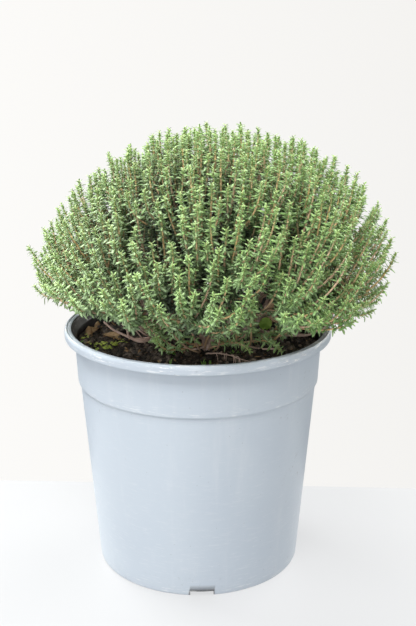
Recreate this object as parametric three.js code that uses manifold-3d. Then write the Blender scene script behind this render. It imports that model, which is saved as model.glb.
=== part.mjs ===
// Potted thyme: a grey-blue plastic nursery pot of about five litres, filled with potting soil, in which
// four thyme plants have grown into one bush. Millimetres, +Z up. The origin is the centre of the pot's
// foot, on the surface that it stands on, and -Y is the front.
import * as THREE from 'three';
import { mergeVertices } from 'three/addons/utils/BufferGeometryUtils.js';
import Module from 'manifold-3d';

const wasm = await Module();
wasm.setup();

// ---- Pot -----------------------------------------------------------------------------------------------
const POT_HEIGHT = 204;
const RIM_RADIUS = 110; // a 22 cm pot
const RIM_HEIGHT = 7.5; // of the rim's turned-down lip
const RIM_ROUND = 1.8;
const LIP_THICKNESS = 1.8;
const MOUTH_RADIUS = 104; // inner edge of the rim
const COLLAR_TOP_RADIUS = 101.8;
const COLLAR_FOOT_RADIUS = 99.8;
const COLLAR_FOOT_Z = 159.2; // below it the wall steps in
const STEP_HEIGHT = 1.8;
const BODY_TOP_RADIUS = 97.9;
const FOOT_RADIUS = 85;
const FOOT_ROUND = 1.6;
const WALL = 1.7;
const FLOOR_LIFT = 5; // the floor stands clear of the surface, inside a foot ring
const FLOOR_THICKNESS = 1.9;
const FOOT_RING_WIDTH = 4.6;
const POT_SIDES = 34;
const NOTCHES = 3; // gaps in the foot ring that let water out
const NOTCH_WIDTH = 19;
const NOTCH_HEIGHT = 4.1;
const NOTCH_TURN = 0.03; // radians from the front
const DRAIN_HOLES = 6;
const DRAIN_RADIUS = 5;
const DRAIN_CIRCLE = 60;
const DRAIN_SIDES = 8;

// ---- Soil ----------------------------------------------------------------------------------------------
const GAP = 0.35; // between pieces that touch
const SOIL_EDGE_Z = 190;
const SOIL_CROWN_RISE = 5; // the soil is heaped a little in the middle
const SOIL_LUMP = 1.2;
const SOIL_RINGS = 5;
const SOIL_SIDES = 28;

// A round-leaved seedling that came up in the soil. Its stalk stands in a hole of its own.
const SEEDLING = { foot: [58, 17], leaf: [54.5, 12.5, 201.5], facing: [-0.1, -0.75, 0.65] };
const SEEDLING_DEPTH = 7;
const SEEDLING_STALK_RADIUS = 0.6;
const SEEDLING_LEAF_RADIUS = 5;
const SEEDLING_LEAF_THICKNESS = 0.9;
const SEEDLING_SIDES = 10;

// Dead brown leaves that lie on the soil, curled up along their edges.
const DRY_LEAVES = [
  { name: 'dry_leaf_left', x: -71, y: -7, turn: 2.3, length: 21, width: 10 },
  { name: 'dry_leaf_rim', x: -88, y: 14, turn: 1.3, length: 17, width: 8 },
];
const DRY_LEAF_THICKNESS = 0.8;
const DRY_LEAF_CURL = 2.2;
const DRY_LEAF_LIFT = 0.5; // over the soil's formula, which its flat facets leave by about as much
const DRY_LEAF_STEPS = 4;

// ---- Plants --------------------------------------------------------------------------------------------
// Where the woody bases stand in the soil.
const ROOTS = [
  { x: -36, y: -18 },
  { x: 7, y: -37 },
  { x: 42, y: 4 },
  { x: -4, y: 34 },
];
const ROOT_DEPTH = 18;
const ROOT_RADIUS = 5;
const ROOT_SIDES = 7;
const CROWN_RISE = 4.6; // of a root's top over the soil
const SPREAD = 2.9; // the bush spreads this much wider than the roots' own stems at the soil

// Bare dead twigs, each from its root's crown.
const DEAD_TWIGS = [
  { root: 1, radius: 1.1, points: [[19, -34, 200], [30, -38, 198.5], [42, -42, 197.5]] },
  { root: 2, radius: 1, points: [[66, -20, 200.5], [86, -29, 202], [98, -26, 206], [110, -19, 210]] },
];

const STEMS = 43; // leafy stems, each with its side shoots
const WOOD_SHARE = 0.3; // share of a stem's length, from the root, that is bare wood
const WOOD_STEPS = 2;
const WOOD_SIDES = 3;
const WOOD_RADIUS = 2.1;
const WOOD_TIP_RADIUS = 1.4;
const STEM_RADIUS = 1.2;
const CORE_RADIUS = 2.5; // of a shoot where its leaves are packed, narrowing to its tip
const SIDE_SHOOTS = [
  { at: 0.12, whorls: 4, reach: 0.98 },
  { at: 0.26, whorls: 3, reach: 0.9 },
];
const SHOOT_SPREAD = 0.12; // radians from the middle of a stem's shoots to the tip of each
const BARE_STEPS = 1;
const WHORLS = 4;
const WHORL_SPACING = 10.8;
const LEAVES = 3; // in a whorl, between those of the next one
const LEAF_LENGTH = 10; // larger than life, as each stands for the tuft of small leaves in its axil
const LEAF_RISE = 0.5; // radians above a right angle to the stem
const LEAF_ROOT = 2.2; // how far a leaf's root runs down the stem
const BUD_LENGTH = 5;
const LEAF_CLEARANCE = 3.4; // a leaf nearer than this to another stem's leaf is left out
const SOIL_CLEARANCE = 2;

// The bush is a dome about a point above the pot. Its tips lie on this form.
const DOME = { z: 253, up: 115, down: 108 };
const OUTLINE_TURN = -0.37; // azimuth of the first of these radii, which lie evenly round the pot's axis
const OUTLINE = [151, 143, 145, 143, 142, 145, 152, 132, 132, 136, 143, 150];
const FULLNESS = { mean: 2.05, right: 0.5 }; // 2 is a round dome, less is a pointed one
const LOWEST_POLAR = 1.88; // radians from straight up to the lowest tips
const FRONT_RAISE = { by: 0.32, azimuth: -2 }; // the lowest tips are higher there, where the soil shows
const GOLDEN_ANGLE = Math.PI * (3 - Math.sqrt(5));
const STEM_WANDER = 0.05; // radians of irregularity in a stem's place
const TIP_TILT = 1.1; // radians that the lowest tips lean out
const OVER_RIM_Z = 214; // low stems pass the rim about this high

const COLOURS = {
  pot: { color: 0xa9b9c6, roughness: 0.5, metalness: 0 },
  soil: { color: 0x2b221c, roughness: 1, metalness: 0 },
  wood: { color: 0x8a6a55, roughness: 0.9, metalness: 0 },
  leaf: { color: 0x6f9460, roughness: 0.75, metalness: 0 },
  seedling: { color: 0x5f9a35, roughness: 0.6, metalness: 0 },
  litter: { color: 0x9a7446, roughness: 0.95, metalness: 0 },
};

// A number from 0 to 1 that is always the same for the same two seeds.
function scatter(a, b) {
  const s = Math.sin(a * 12.9898 + b * 78.233) * 43758.5453;
  return s - Math.floor(s);
}

function centred(a, b) {
  return 2 * scatter(a, b) - 1;
}

// ---- Solids --------------------------------------------------------------------------------------------
function solidOf(geometry) {
  const bare = new THREE.BufferGeometry();
  bare.setAttribute('position', geometry.getAttribute('position'));
  if (geometry.index) bare.setIndex(geometry.index);
  const merged = mergeVertices(bare, 1e-3);
  return new wasm.Manifold(new wasm.Mesh({
    numProp: 3,
    vertProperties: new Float32Array(merged.attributes.position.array),
    triVerts: new Uint32Array(merged.index.array),
  }));
}

function geometryOf(solid) {
  const mesh = solid.getMesh();
  const geometry = new THREE.BufferGeometry();
  geometry.setAttribute('position', new THREE.BufferAttribute(new Float32Array(mesh.vertProperties), 3));
  geometry.setIndex(new THREE.BufferAttribute(new Uint32Array(mesh.triVerts), 1));
  geometry.computeVertexNormals();
  return geometry;
}

// A closed solid from points and triangles, turned to face out.
function faceted(points, triangles) {
  const volume = triangles.reduce((sum, [a, b, c]) => (
    sum + points[a].dot(new THREE.Vector3().crossVectors(points[b], points[c]))
  ), 0);
  const facing = volume > 0 ? triangles : triangles.map(([a, b, c]) => [a, c, b]);
  const geometry = new THREE.BufferGeometry();
  geometry.setAttribute('position', new THREE.Float32BufferAttribute(points.flatMap((p) => p.toArray()), 3));
  geometry.setIndex(facing.flat());
  return solidOf(geometry);
}

function union(solids) {
  return solids.reduce((all, one) => all.add(one));
}

// A tube of changing radius along points, closed at both ends.
function tube(path, radii, sides) {
  const points = frames(path).flatMap(({ at, u, v }, i) => (
    Array.from({ length: sides }, (_, j) => ringPoint(at, u, v, (2 * Math.PI * j) / sides, radii[i]))
  ));
  const triangles = [];
  for (let i = 1; i < path.length; i += 1) {
    for (let j = 0; j < sides; j += 1) {
      const next = (j + 1) % sides;
      const [a, b] = [(i - 1) * sides + j, (i - 1) * sides + next];
      const [c, d] = [i * sides + j, i * sides + next];
      triangles.push([a, b, d], [a, d, c]);
    }
  }
  const last = (path.length - 1) * sides;
  for (let j = 1; j < sides - 1; j += 1) {
    triangles.push([0, j + 1, j], [last, last + j, last + j + 1]);
  }
  return faceted(points, triangles);
}

function ringPoint(at, u, v, turn, radius) {
  return at.clone().addScaledVector(u, radius * Math.cos(turn)).addScaledVector(v, radius * Math.sin(turn));
}

// At each point of a path: its direction along the path, and two directions across it that don't twist.
function frames(path) {
  let u = new THREE.Vector3(1, 0, 0);
  return path.map((at, i) => {
    const before = path[Math.max(i - 1, 0)];
    const after = path[Math.min(i + 1, path.length - 1)];
    const along = after.clone().sub(before).normalize();
    u = u.clone().addScaledVector(along, -u.dot(along)).normalize();
    return { at, along, u: u.clone(), v: new THREE.Vector3().crossVectors(along, u) };
  });
}

// ---- Pot -----------------------------------------------------------------------------------------------
function potProfile() {
  const underRim = POT_HEIGHT - RIM_HEIGHT;
  const floorTop = FLOOR_LIFT + FLOOR_THICKNESS;
  const ringInside = FOOT_RADIUS - FOOT_RING_WIDTH;
  const underCrown = POT_HEIGHT - LIP_THICKNESS - 0.6;
  return [
    [0, FLOOR_LIFT],
    [ringInside, FLOOR_LIFT],
    [ringInside, 0],
    [FOOT_RADIUS - FOOT_ROUND, 0],
    [FOOT_RADIUS, FOOT_ROUND],
    [BODY_TOP_RADIUS, COLLAR_FOOT_Z - STEP_HEIGHT],
    [COLLAR_FOOT_RADIUS, COLLAR_FOOT_Z],
    [COLLAR_TOP_RADIUS, underRim],
    [MOUTH_RADIUS + LIP_THICKNESS, underCrown],
    [RIM_RADIUS - LIP_THICKNESS, underCrown],
    [RIM_RADIUS - LIP_THICKNESS, underRim],
    [RIM_RADIUS, underRim],
    [RIM_RADIUS, POT_HEIGHT - RIM_ROUND],
    [RIM_RADIUS - RIM_ROUND, POT_HEIGHT],
    [MOUTH_RADIUS + RIM_ROUND, POT_HEIGHT],
    [MOUTH_RADIUS, POT_HEIGHT - RIM_ROUND],
    [COLLAR_TOP_RADIUS - WALL, underRim],
    [COLLAR_FOOT_RADIUS - WALL, COLLAR_FOOT_Z],
    [BODY_TOP_RADIUS - WALL, COLLAR_FOOT_Z - STEP_HEIGHT],
    [FOOT_RADIUS - WALL, floorTop],
    [0, floorTop],
  ];
}

// A copy of a cutter at each of count places round the pot's axis, as one solid.
function ringOf(geometry, count, turn) {
  return union(Array.from({ length: count }, (_, i) => (
    solidOf(geometry.clone().rotateZ(turn + (2 * Math.PI * i) / count))
  )));
}

function makePot() {
  const profile = potProfile().map(([r, z]) => new THREE.Vector2(r, z));
  const shell = new THREE.LatheGeometry(profile, POT_SIDES).rotateX(Math.PI / 2);
  const notch = new THREE.BoxGeometry(NOTCH_WIDTH, 4 * FOOT_RING_WIDTH, 2 * NOTCH_HEIGHT);
  notch.translate(0, -FOOT_RADIUS + FOOT_RING_WIDTH / 2, 0);
  const drain = new THREE.CylinderGeometry(DRAIN_RADIUS, DRAIN_RADIUS, 4 * FLOOR_THICKNESS, DRAIN_SIDES);
  drain.rotateX(Math.PI / 2).translate(0, -DRAIN_CIRCLE, FLOOR_LIFT);
  return solidOf(shell)
    .subtract(ringOf(notch, NOTCHES, NOTCH_TURN))
    .subtract(ringOf(drain, DRAIN_HOLES, Math.PI / DRAIN_HOLES));
}

// The pot's inner radius at a height above its floor, at the middle of a flat side.
function insideRadius(z) {
  const flat = Math.cos(Math.PI / POT_SIDES);
  if (z > COLLAR_FOOT_Z) {
    const share = (z - COLLAR_FOOT_Z) / (POT_HEIGHT - RIM_HEIGHT - COLLAR_FOOT_Z);
    return flat * (COLLAR_FOOT_RADIUS - WALL + share * (COLLAR_TOP_RADIUS - COLLAR_FOOT_RADIUS));
  }
  const floorTop = FLOOR_LIFT + FLOOR_THICKNESS;
  const share = Math.min((z - floorTop) / (COLLAR_FOOT_Z - STEP_HEIGHT - floorTop), 1);
  return flat * (FOOT_RADIUS - WALL + share * (BODY_TOP_RADIUS - FOOT_RADIUS));
}

// ---- Soil ----------------------------------------------------------------------------------------------
// The height of the soil's lumpy top.
function soilTop(x, y) {
  const out = Math.min(Math.hypot(x, y) / MOUTH_RADIUS, 1);
  const lumps = Math.sin(x * 0.071 + 1.3) * Math.cos(y * 0.063) + 0.5 * Math.sin(x * 0.09 - y * 0.08);
  return SOIL_EDGE_Z + SOIL_CROWN_RISE * (1 - out * out) + SOIL_LUMP * lumps;
}

function makeSoil(holes) {
  const points = [];
  const triangles = [];
  const ring = (radius, height) => {
    for (let j = 0; j < SOIL_SIDES; j += 1) {
      const turn = (2 * Math.PI * j) / SOIL_SIDES;
      const [x, y] = [radius * Math.cos(turn), radius * Math.sin(turn)];
      points.push(new THREE.Vector3(x, y, height(x, y)));
    }
    return points.length - SOIL_SIDES;
  };
  const floor = FLOOR_LIFT + FLOOR_THICKNESS + GAP;
  const waist = COLLAR_FOOT_Z - STEP_HEIGHT;
  const edge = insideRadius(SOIL_EDGE_Z) - GAP;
  const rings = [
    ring(insideRadius(floor) - GAP, () => floor),
    ring(insideRadius(waist) - GAP, () => waist),
  ];
  for (let i = SOIL_RINGS; i > 0; i -= 1) rings.push(ring((edge * i) / SOIL_RINGS, soilTop));
  rings.slice(1).forEach((upper, i) => {
    for (let j = 0; j < SOIL_SIDES; j += 1) {
      const next = (j + 1) % SOIL_SIDES;
      triangles.push([rings[i] + j, rings[i] + next, upper + next], [rings[i] + j, upper + next, upper + j]);
    }
  });
  const [bottom, top] = [points.length, points.length + 1];
  points.push(new THREE.Vector3(0, 0, floor), new THREE.Vector3(0, 0, soilTop(0, 0)));
  for (let j = 0; j < SOIL_SIDES; j += 1) {
    const next = (j + 1) % SOIL_SIDES;
    triangles.push([bottom, rings[0] + next, rings[0] + j], [top, rings.at(-1) + j, rings.at(-1) + next]);
  }
  return holes.reduce((soil, hole) => soil.subtract(hole), faceted(points, triangles));
}

// ---- What lies and grows on the soil -------------------------------------------------------------------
function seedlingPath() {
  const [x, y] = SEEDLING.foot;
  const leaf = new THREE.Vector3(...SEEDLING.leaf);
  const inSoil = new THREE.Vector3(x, y, soilTop(x, y));
  const down = leaf.clone().sub(inSoil).setLength(-SEEDLING_DEPTH);
  return [inSoil.clone().add(down), inSoil, leaf];
}

function makeSeedling() {
  const facing = new THREE.Vector3(...SEEDLING.facing).setLength(SEEDLING_LEAF_THICKNESS / 2);
  const centre = new THREE.Vector3(...SEEDLING.leaf);
  const faces = [centre.clone().sub(facing), centre.clone().add(facing)];
  const leaf = tube(faces, [SEEDLING_LEAF_RADIUS, SEEDLING_LEAF_RADIUS], SEEDLING_SIDES);
  const path = seedlingPath();
  return leaf.add(tube(path, path.map(() => SEEDLING_STALK_RADIUS), 5));
}

// The hole that the seedling's stalk stands in, open above the soil.
function seedlingHole() {
  const [bottom, inSoil, leaf] = seedlingPath();
  const out = leaf.clone().sub(bottom).setLength(4);
  const path = [bottom.clone().addScaledVector(out, -0.25 * GAP), inSoil.clone().add(out)];
  return tube(path, path.map(() => SEEDLING_STALK_RADIUS + 1.5 * GAP), 5);
}

function makeDryLeaf({ x, y, turn, length, width }) {
  const points = [];
  const triangles = [];
  const across = [-1, 0, 1];
  [0, DRY_LEAF_THICKNESS].forEach((height) => {
    for (let i = 0; i <= DRY_LEAF_STEPS; i += 1) {
      const share = i / DRY_LEAF_STEPS;
      const half = 0.6 + (width / 2) * Math.sin(Math.PI * (0.06 + 0.88 * share));
      across.forEach((side) => {
        const along = length * (share - 0.5);
        const px = x + along * Math.cos(turn) - side * half * Math.sin(turn);
        const py = y + along * Math.sin(turn) + side * half * Math.cos(turn);
        const curl = DRY_LEAF_CURL * Math.abs(side) * Math.sin(Math.PI * share);
        points.push(new THREE.Vector3(px, py, soilTop(px, py) + DRY_LEAF_LIFT + curl + height));
      });
    }
  });
  const top = points.length / 2;
  const quad = (a, b, c, d) => triangles.push([a, b, c], [a, c, d]);
  for (let i = 0; i < DRY_LEAF_STEPS; i += 1) {
    const [a, b] = [3 * i, 3 * (i + 1)];
    [0, 1].forEach((n) => {
      quad(top + a + n, top + b + n, top + b + n + 1, top + a + n + 1);
      quad(a + n, a + n + 1, b + n + 1, b + n);
    });
    quad(a, b, top + b, top + a);
    quad(a + 2, top + a + 2, top + b + 2, b + 2);
  }
  const end = 3 * DRY_LEAF_STEPS;
  [0, 1].forEach((n) => {
    quad(n, top + n, top + n + 1, n + 1);
    quad(end + n, end + n + 1, top + end + n + 1, top + end + n);
  });
  return faceted(points, triangles);
}

// ---- The bush's form -----------------------------------------------------------------------------------
// The bush's radius in plan at an azimuth, smooth through the outline's radii.
function planRadius(azimuth) {
  const count = OUTLINE.length;
  const place = THREE.MathUtils.euclideanModulo(((azimuth - OUTLINE_TURN) * count) / (2 * Math.PI), count);
  const first = Math.floor(place) % count;
  const share = place - Math.floor(place);
  const eased = (1 - Math.cos(Math.PI * share)) / 2;
  return OUTLINE[first] + eased * (OUTLINE[(first + 1) % count] - OUTLINE[first]);
}

// A point on the dome, by its angle from straight up and its azimuth. reach is 1 on the dome.
function onDome(polar, azimuth, reach) {
  const shape = 2 / (FULLNESS.mean + FULLNESS.right * Math.cos(azimuth));
  const out = reach * planRadius(azimuth) * Math.abs(Math.sin(polar)) ** shape;
  const cos = Math.cos(polar);
  const height = cos > 0 ? DOME.up * cos ** shape : DOME.down * cos;
  return new THREE.Vector3(out * Math.cos(azimuth), out * Math.sin(azimuth), DOME.z + reach * height);
}

function lowestPolar(azimuth) {
  const facing = (1 + Math.cos(azimuth - FRONT_RAISE.azimuth)) / 2;
  return LOWEST_POLAR - FRONT_RAISE.by * facing * facing;
}

// Where stem k's shoots end on the dome: spread evenly by the golden angle, then moved a little.
function stemPlace(k) {
  const azimuth = k * GOLDEN_ANGLE + STEM_WANDER * centred(k, 2);
  const lowest = lowestPolar(azimuth);
  const polar = Math.acos(1 - ((1 - Math.cos(lowest)) * (k + 0.5)) / STEMS) + STEM_WANDER * centred(k, 1);
  return { polar, azimuth };
}

// The root that feeds a tip is the nearest one, seen from above.
function rootOf(tip) {
  const distances = ROOTS.map(({ x, y }) => Math.hypot(tip.x - SPREAD * x, tip.y - SPREAD * y));
  return distances.indexOf(Math.min(...distances));
}

function crownOf(root) {
  const { x, y } = ROOTS[root];
  return new THREE.Vector3(x, y, soilTop(x, y) + CROWN_RISE);
}

// A curve from a start to a tip on the dome. It leaves flat towards a low tip and steeply towards a high
// one, and ends leaning out by as much as the tip lies low.
function shootCurve(start, polar, azimuth, reach) {
  const outness = Math.min(polar / lowestPolar(azimuth), 1);
  const tip = onDome(polar, azimuth, reach);
  const way = tip.clone().sub(start);
  const first = start.clone();
  first.x += 0.4 * outness * way.x;
  first.y += 0.4 * outness * way.y;
  first.z += 5 + (0.36 - 0.24 * outness) * way.z;
  const tilt = TIP_TILT * outness ** 1.3;
  const second = tip.clone();
  second.x -= 0.4 * way.length() * Math.sin(tilt) * Math.cos(azimuth);
  second.y -= 0.4 * way.length() * Math.sin(tilt) * Math.sin(azimuth);
  second.z = Math.max(tip.z - 0.4 * way.length() * Math.cos(tilt), OVER_RIM_Z);
  return new THREE.CubicBezierCurve3(start, first, second, tip);
}

// ---- Leafy stems ---------------------------------------------------------------------------------------
// A stem's main shoot and side shoots: each one's curve, the share of it that is bare, and its whorls.
function shootsOf(k) {
  const { polar, azimuth } = stemPlace(k);
  const turn = 2 * Math.PI * scatter(k, 4);
  const place = (n) => {
    const angle = turn + (2 * Math.PI * n) / (SIDE_SHOOTS.length + 1);
    return [
      Math.max(polar + SHOOT_SPREAD * Math.cos(angle), 0.03),
      azimuth + (SHOOT_SPREAD * Math.sin(angle)) / Math.max(Math.sin(polar), 0.4),
    ];
  };
  const root = rootOf(onDome(polar, azimuth, 1));
  const main = shootCurve(crownOf(root), ...place(0), 1);
  const woodLength = WOOD_SHARE * main.getLength();
  const shoots = [{ curve: main, from: woodLength + GAP, whorls: WHORLS }];
  SIDE_SHOOTS.forEach(({ at, whorls, reach }, n) => {
    const share = WOOD_SHARE + (1 - WOOD_SHARE) * at;
    const start = main.getPointAt(share);
    const curve = shootCurve(start, ...place(n + 1), reach - 0.06 * scatter(k, 5 + n));
    curve.v1.copy(main.getPointAt(share + 0.12));
    shoots.push({ curve, from: 0, whorls });
  });
  return { k, root, woodLength, shoots: shoots.map((shoot) => ({ ...shoot, ...leafedRings(shoot) })) };
}

// A shoot's rings up to its tip, three points each and each ring turned half a side from the last, and the
// leaves of its whorls. A leaf has a root on the stem, a tip, and a keel below its root.
function leafedRings({ curve, from, whorls }) {
  const length = curve.getLength();
  const leafy = Math.min(whorls * WHORL_SPACING, 0.7 * (length - from));
  const start = length - BUD_LENGTH - leafy;
  const path = [];
  for (let i = 0; i < BARE_STEPS; i += 1) {
    path.push(curve.getPointAt((from + ((start - from) * i) / BARE_STEPS) / length));
  }
  for (let i = 0; i <= whorls; i += 1) path.push(curve.getPointAt((start + (leafy * i) / whorls) / length));
  const rings = frames(path).map((ring, i) => ({
    ...ring,
    corners: Array.from({ length: LEAVES }, (_, j) => {
      const radius = i < BARE_STEPS ? STEM_RADIUS : CORE_RADIUS * (1 - (0.35 * i) / path.length);
      return ringPoint(ring.at, ring.u, ring.v, (2 * Math.PI * (j + i / 2)) / LEAVES, radius);
    }),
  }));
  const leaves = [];
  for (let i = BARE_STEPS + 1; i < rings.length; i += 1) {
    for (let j = 0; j < LEAVES; j += 1) leaves.push(leafAt(rings, i, j));
  }
  return { rings, leaves };
}

function leafAt(rings, i, j) {
  const { at, along, corners } = rings[i];
  const next = (j + 1) % LEAVES;
  const below = rings[i - 1].corners[next];
  const root = corners[j].clone().add(corners[next]).multiplyScalar(0.5);
  const length = LEAF_LENGTH * (i === rings.length - 1 ? 0.8 : 1);
  const tip = root.clone().addScaledVector(root.clone().sub(at).normalize(), length * Math.cos(LEAF_RISE));
  tip.addScaledVector(along, length * Math.sin(LEAF_RISE));
  const keel = root.clone().lerp(below, LEAF_ROOT / root.distanceTo(below));
  return { ring: i, side: j, root, tip, keel };
}

function shootSolid({ rings, leaves }) {
  const points = rings.flatMap(({ corners }) => corners);
  const triangles = [[0, 1, 2]];
  const at = (i, j) => i * LEAVES + (j % LEAVES);
  for (let i = 1; i < rings.length; i += 1) {
    for (let j = 0; j < LEAVES; j += 1) {
      const [a, b, below] = [at(i, j), at(i, j + 1), at(i - 1, j + 1)];
      triangles.push([at(i - 1, j), a, below]);
      const leaf = leaves.find(({ ring, side }) => ring === i && side === j);
      if (leaf) {
        const [tip, keel] = [points.length, points.length + 1];
        points.push(leaf.tip, leaf.keel);
        triangles.push([a, b, tip], [a, tip, keel], [tip, b, keel], [a, keel, below], [keel, b, below]);
      } else {
        triangles.push([a, b, below]);
      }
    }
  }
  const last = rings.at(-1);
  points.push(last.at.clone().addScaledVector(last.along, BUD_LENGTH));
  for (let j = 0; j < LEAVES; j += 1) {
    triangles.push([at(rings.length - 1, j), points.length - 1, at(rings.length - 1, j + 1)]);
  }
  return faceted(points, triangles);
}

// The least distance between two straight pieces, each [from, to].
function distanceBetween([a, b], [c, d]) {
  const [ab, cd, ac] = [b.clone().sub(a), d.clone().sub(c), c.clone().sub(a)];
  const [e, f, g] = [ab.dot(ab), ab.dot(cd), cd.dot(cd)];
  const [h, i] = [ab.dot(ac), cd.dot(ac)];
  const bulk = e * g - f * f;
  let s = bulk > 1e-9 ? THREE.MathUtils.clamp((h * g - i * f) / bulk, 0, 1) : 0;
  const t = THREE.MathUtils.clamp((s * f - i) / g, 0, 1);
  s = THREE.MathUtils.clamp((t * f + h) / e, 0, 1);
  return ab.multiplyScalar(s).sub(cd.multiplyScalar(t).add(ac)).length();
}

function overPotAndSoil({ x, y, z }) {
  const out = Math.hypot(x, y);
  if (out < MOUTH_RADIUS - SOIL_CLEARANCE) return z > soilTop(x, y) + SOIL_CLEARANCE;
  return z > POT_HEIGHT + SOIL_CLEARANCE || out > RIM_RADIUS + SOIL_CLEARANCE;
}

// Leaves out what would touch the pot, the soil, other wood or another stem's leaf that is kept.
function pruneLeaves(stems, bare) {
  const stalks = stems.flatMap(({ k, shoots }) => shoots.flatMap(({ rings }) => (
    rings.slice(1).map((ring, i) => ({ k, piece: [rings[i].at, ring.at], keep: CORE_RADIUS + 1.5 }))
  )));
  const kept = [...bare, ...stalks];
  stems.forEach(({ k, shoots }) => shoots.forEach((shoot) => {
    shoot.leaves = shoot.leaves.filter(({ root, tip, keel }) => {
      const piece = [root.clone().lerp(keel, 0.4), tip];
      const clear = overPotAndSoil(root) && overPotAndSoil(tip) && kept.every((other) => (
        other.k === k || distanceBetween(piece, other.piece) > other.keep
      ));
      if (clear) kept.push({ k, piece, keep: LEAF_CLEARANCE });
      return clear;
    });
  }));
}

// ---- Wood ----------------------------------------------------------------------------------------------
function woodPath({ woodLength, shoots }) {
  const { curve } = shoots[0];
  const share = woodLength / curve.getLength();
  return Array.from({ length: WOOD_STEPS + 1 }, (_, i) => curve.getPointAt((share * i) / WOOD_STEPS));
}

function woodRadius(share) {
  return WOOD_RADIUS + (WOOD_TIP_RADIUS - WOOD_RADIUS) * share;
}

function deadTwigPath({ root, points }) {
  return [crownOf(root), ...points.map((point) => new THREE.Vector3(...point))];
}

// The root collar of a woody base, wider by margin all round.
function collar(root, margin) {
  const { x, y, z } = crownOf(root);
  const heights = [-CROWN_RISE - ROOT_DEPTH - margin, -CROWN_RISE, 0];
  const radii = [0.45 * ROOT_RADIUS, ROOT_RADIUS, 0.8 * ROOT_RADIUS];
  return tube(heights.map((dz) => new THREE.Vector3(x, y, z + dz)), radii.map((r) => r + margin), ROOT_SIDES);
}

function makeWood(root, stems) {
  const branches = stems.filter((stem) => stem.root === root).map((stem) => {
    const path = woodPath(stem);
    return tube(path, path.map((_, i) => woodRadius(i / WOOD_STEPS)), WOOD_SIDES);
  });
  const twigs = DEAD_TWIGS.filter((twig) => twig.root === root).map((twig) => {
    const path = deadTwigPath(twig);
    return tube(path, path.map((_, i) => twig.radius * (1.5 - i / path.length)), WOOD_SIDES);
  });
  return union([collar(root, 0), ...branches, ...twigs]);
}

// Every bare piece of wood, with the distance that leaves keep from it.
function bareWood(stems) {
  const pieces = (path, keep) => path.slice(1).map((to, i) => ({ piece: [path[i], to], keep }));
  return [
    ...stems.flatMap((stem) => pieces(woodPath(stem), WOOD_RADIUS + 1.6)),
    ...DEAD_TWIGS.flatMap((twig) => pieces(deadTwigPath(twig), 1.5 * twig.radius + 1.6)),
    ...pieces(seedlingPath(), SEEDLING_LEAF_RADIUS + 1.5),
  ];
}

// ---- The whole -----------------------------------------------------------------------------------------
const part = new THREE.Group();

function place(name, solid, colour) {
  const mesh = new THREE.Mesh(geometryOf(solid), new THREE.MeshStandardMaterial(colour));
  mesh.name = name;
  part.add(mesh);
}

const stems = Array.from({ length: STEMS }, (_, k) => shootsOf(k));
pruneLeaves(stems, bareWood(stems));
place('pot', makePot(), COLOURS.pot);
place('soil', makeSoil([...ROOTS.map((_, root) => collar(root, 1.5 * GAP)), seedlingHole()]), COLOURS.soil);
place('seedling', makeSeedling(), COLOURS.seedling);
DRY_LEAVES.forEach((leaf) => place(leaf.name, makeDryLeaf(leaf), COLOURS.litter));
ROOTS.forEach((_, root) => place(`woody_base_${root + 1}`, makeWood(root, stems), COLOURS.wood));
stems.forEach(({ k, shoots }) => {
  place(`leafy_stem_${String(k + 1).padStart(2, '0')}`, union(shoots.map(shootSolid)), COLOURS.leaf);
});

export default part;
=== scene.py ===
"""Potted thyme: four thyme plants grown into one bush in a grey-blue nursery pot, dressed over its CAD frame.

Shapes are worked out in millimetres and built in metres, in the frame of the CAD model: +Z up, -Y the front.
A Table gives a few places and the value at each, and the values between them follow in proportion.
"""

import functools
import logging
import math
from dataclasses import dataclass, field
from enum import Enum, IntEnum

import bpy
import numpy as np
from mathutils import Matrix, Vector


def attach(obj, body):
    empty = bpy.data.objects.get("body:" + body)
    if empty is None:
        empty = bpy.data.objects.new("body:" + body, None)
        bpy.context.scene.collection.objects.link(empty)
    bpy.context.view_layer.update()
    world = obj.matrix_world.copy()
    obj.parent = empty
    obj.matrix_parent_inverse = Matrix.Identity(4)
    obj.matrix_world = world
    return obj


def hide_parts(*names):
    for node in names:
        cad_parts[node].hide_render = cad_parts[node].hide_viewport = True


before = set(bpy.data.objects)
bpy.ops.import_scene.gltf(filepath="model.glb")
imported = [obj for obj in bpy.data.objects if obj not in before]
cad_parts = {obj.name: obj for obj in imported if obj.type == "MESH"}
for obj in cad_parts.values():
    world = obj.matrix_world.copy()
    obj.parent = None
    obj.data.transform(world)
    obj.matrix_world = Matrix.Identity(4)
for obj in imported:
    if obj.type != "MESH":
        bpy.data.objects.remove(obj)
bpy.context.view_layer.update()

Array = np.ndarray
Draws = np.random.Generator
Material = bpy.types.Material
Mesh = bpy.types.Mesh
Piece = bpy.types.Object
Socket = bpy.types.NodeSocket
Colour = tuple[float, float, float]
Spot = tuple[float, float, float]
Knots = tuple[Spot, ...]
Pair = tuple[float, float]
Twig = tuple[float, Knots]
Table = tuple[tuple[float, ...], tuple[float, ...]]

LOG = logging.getLogger("potted_thyme")
MM = 0.001
BODY = "root"
TINT = "tint"
BAKE_MAP = "OFBake"
TURN = 2 * math.pi
GOLDEN_ANGLE = math.pi * (3 - math.sqrt(5))

# From the seedling to where it gets its light.
GAP_WAY = np.array([-0.06, -0.957, 0.284])

# The pot, as in the CAD model.
POT_HEIGHT = 204.0
RIM_RADIUS = 110.0
MOUTH_RADIUS = 104.0
SOIL_EDGE_Z = 190.0
SOIL_CROWN = 5.0
SOIL_LUMP = 1.2

# How far out the bush's inside is painted dark as painted shade: its half width, and the shares of it where the
# painted shade sets in and how fast.
BURIED_WIDTH = 147.0
BURIED_SINCE = 0.895
BURIED_WITHIN = 0.285

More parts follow.
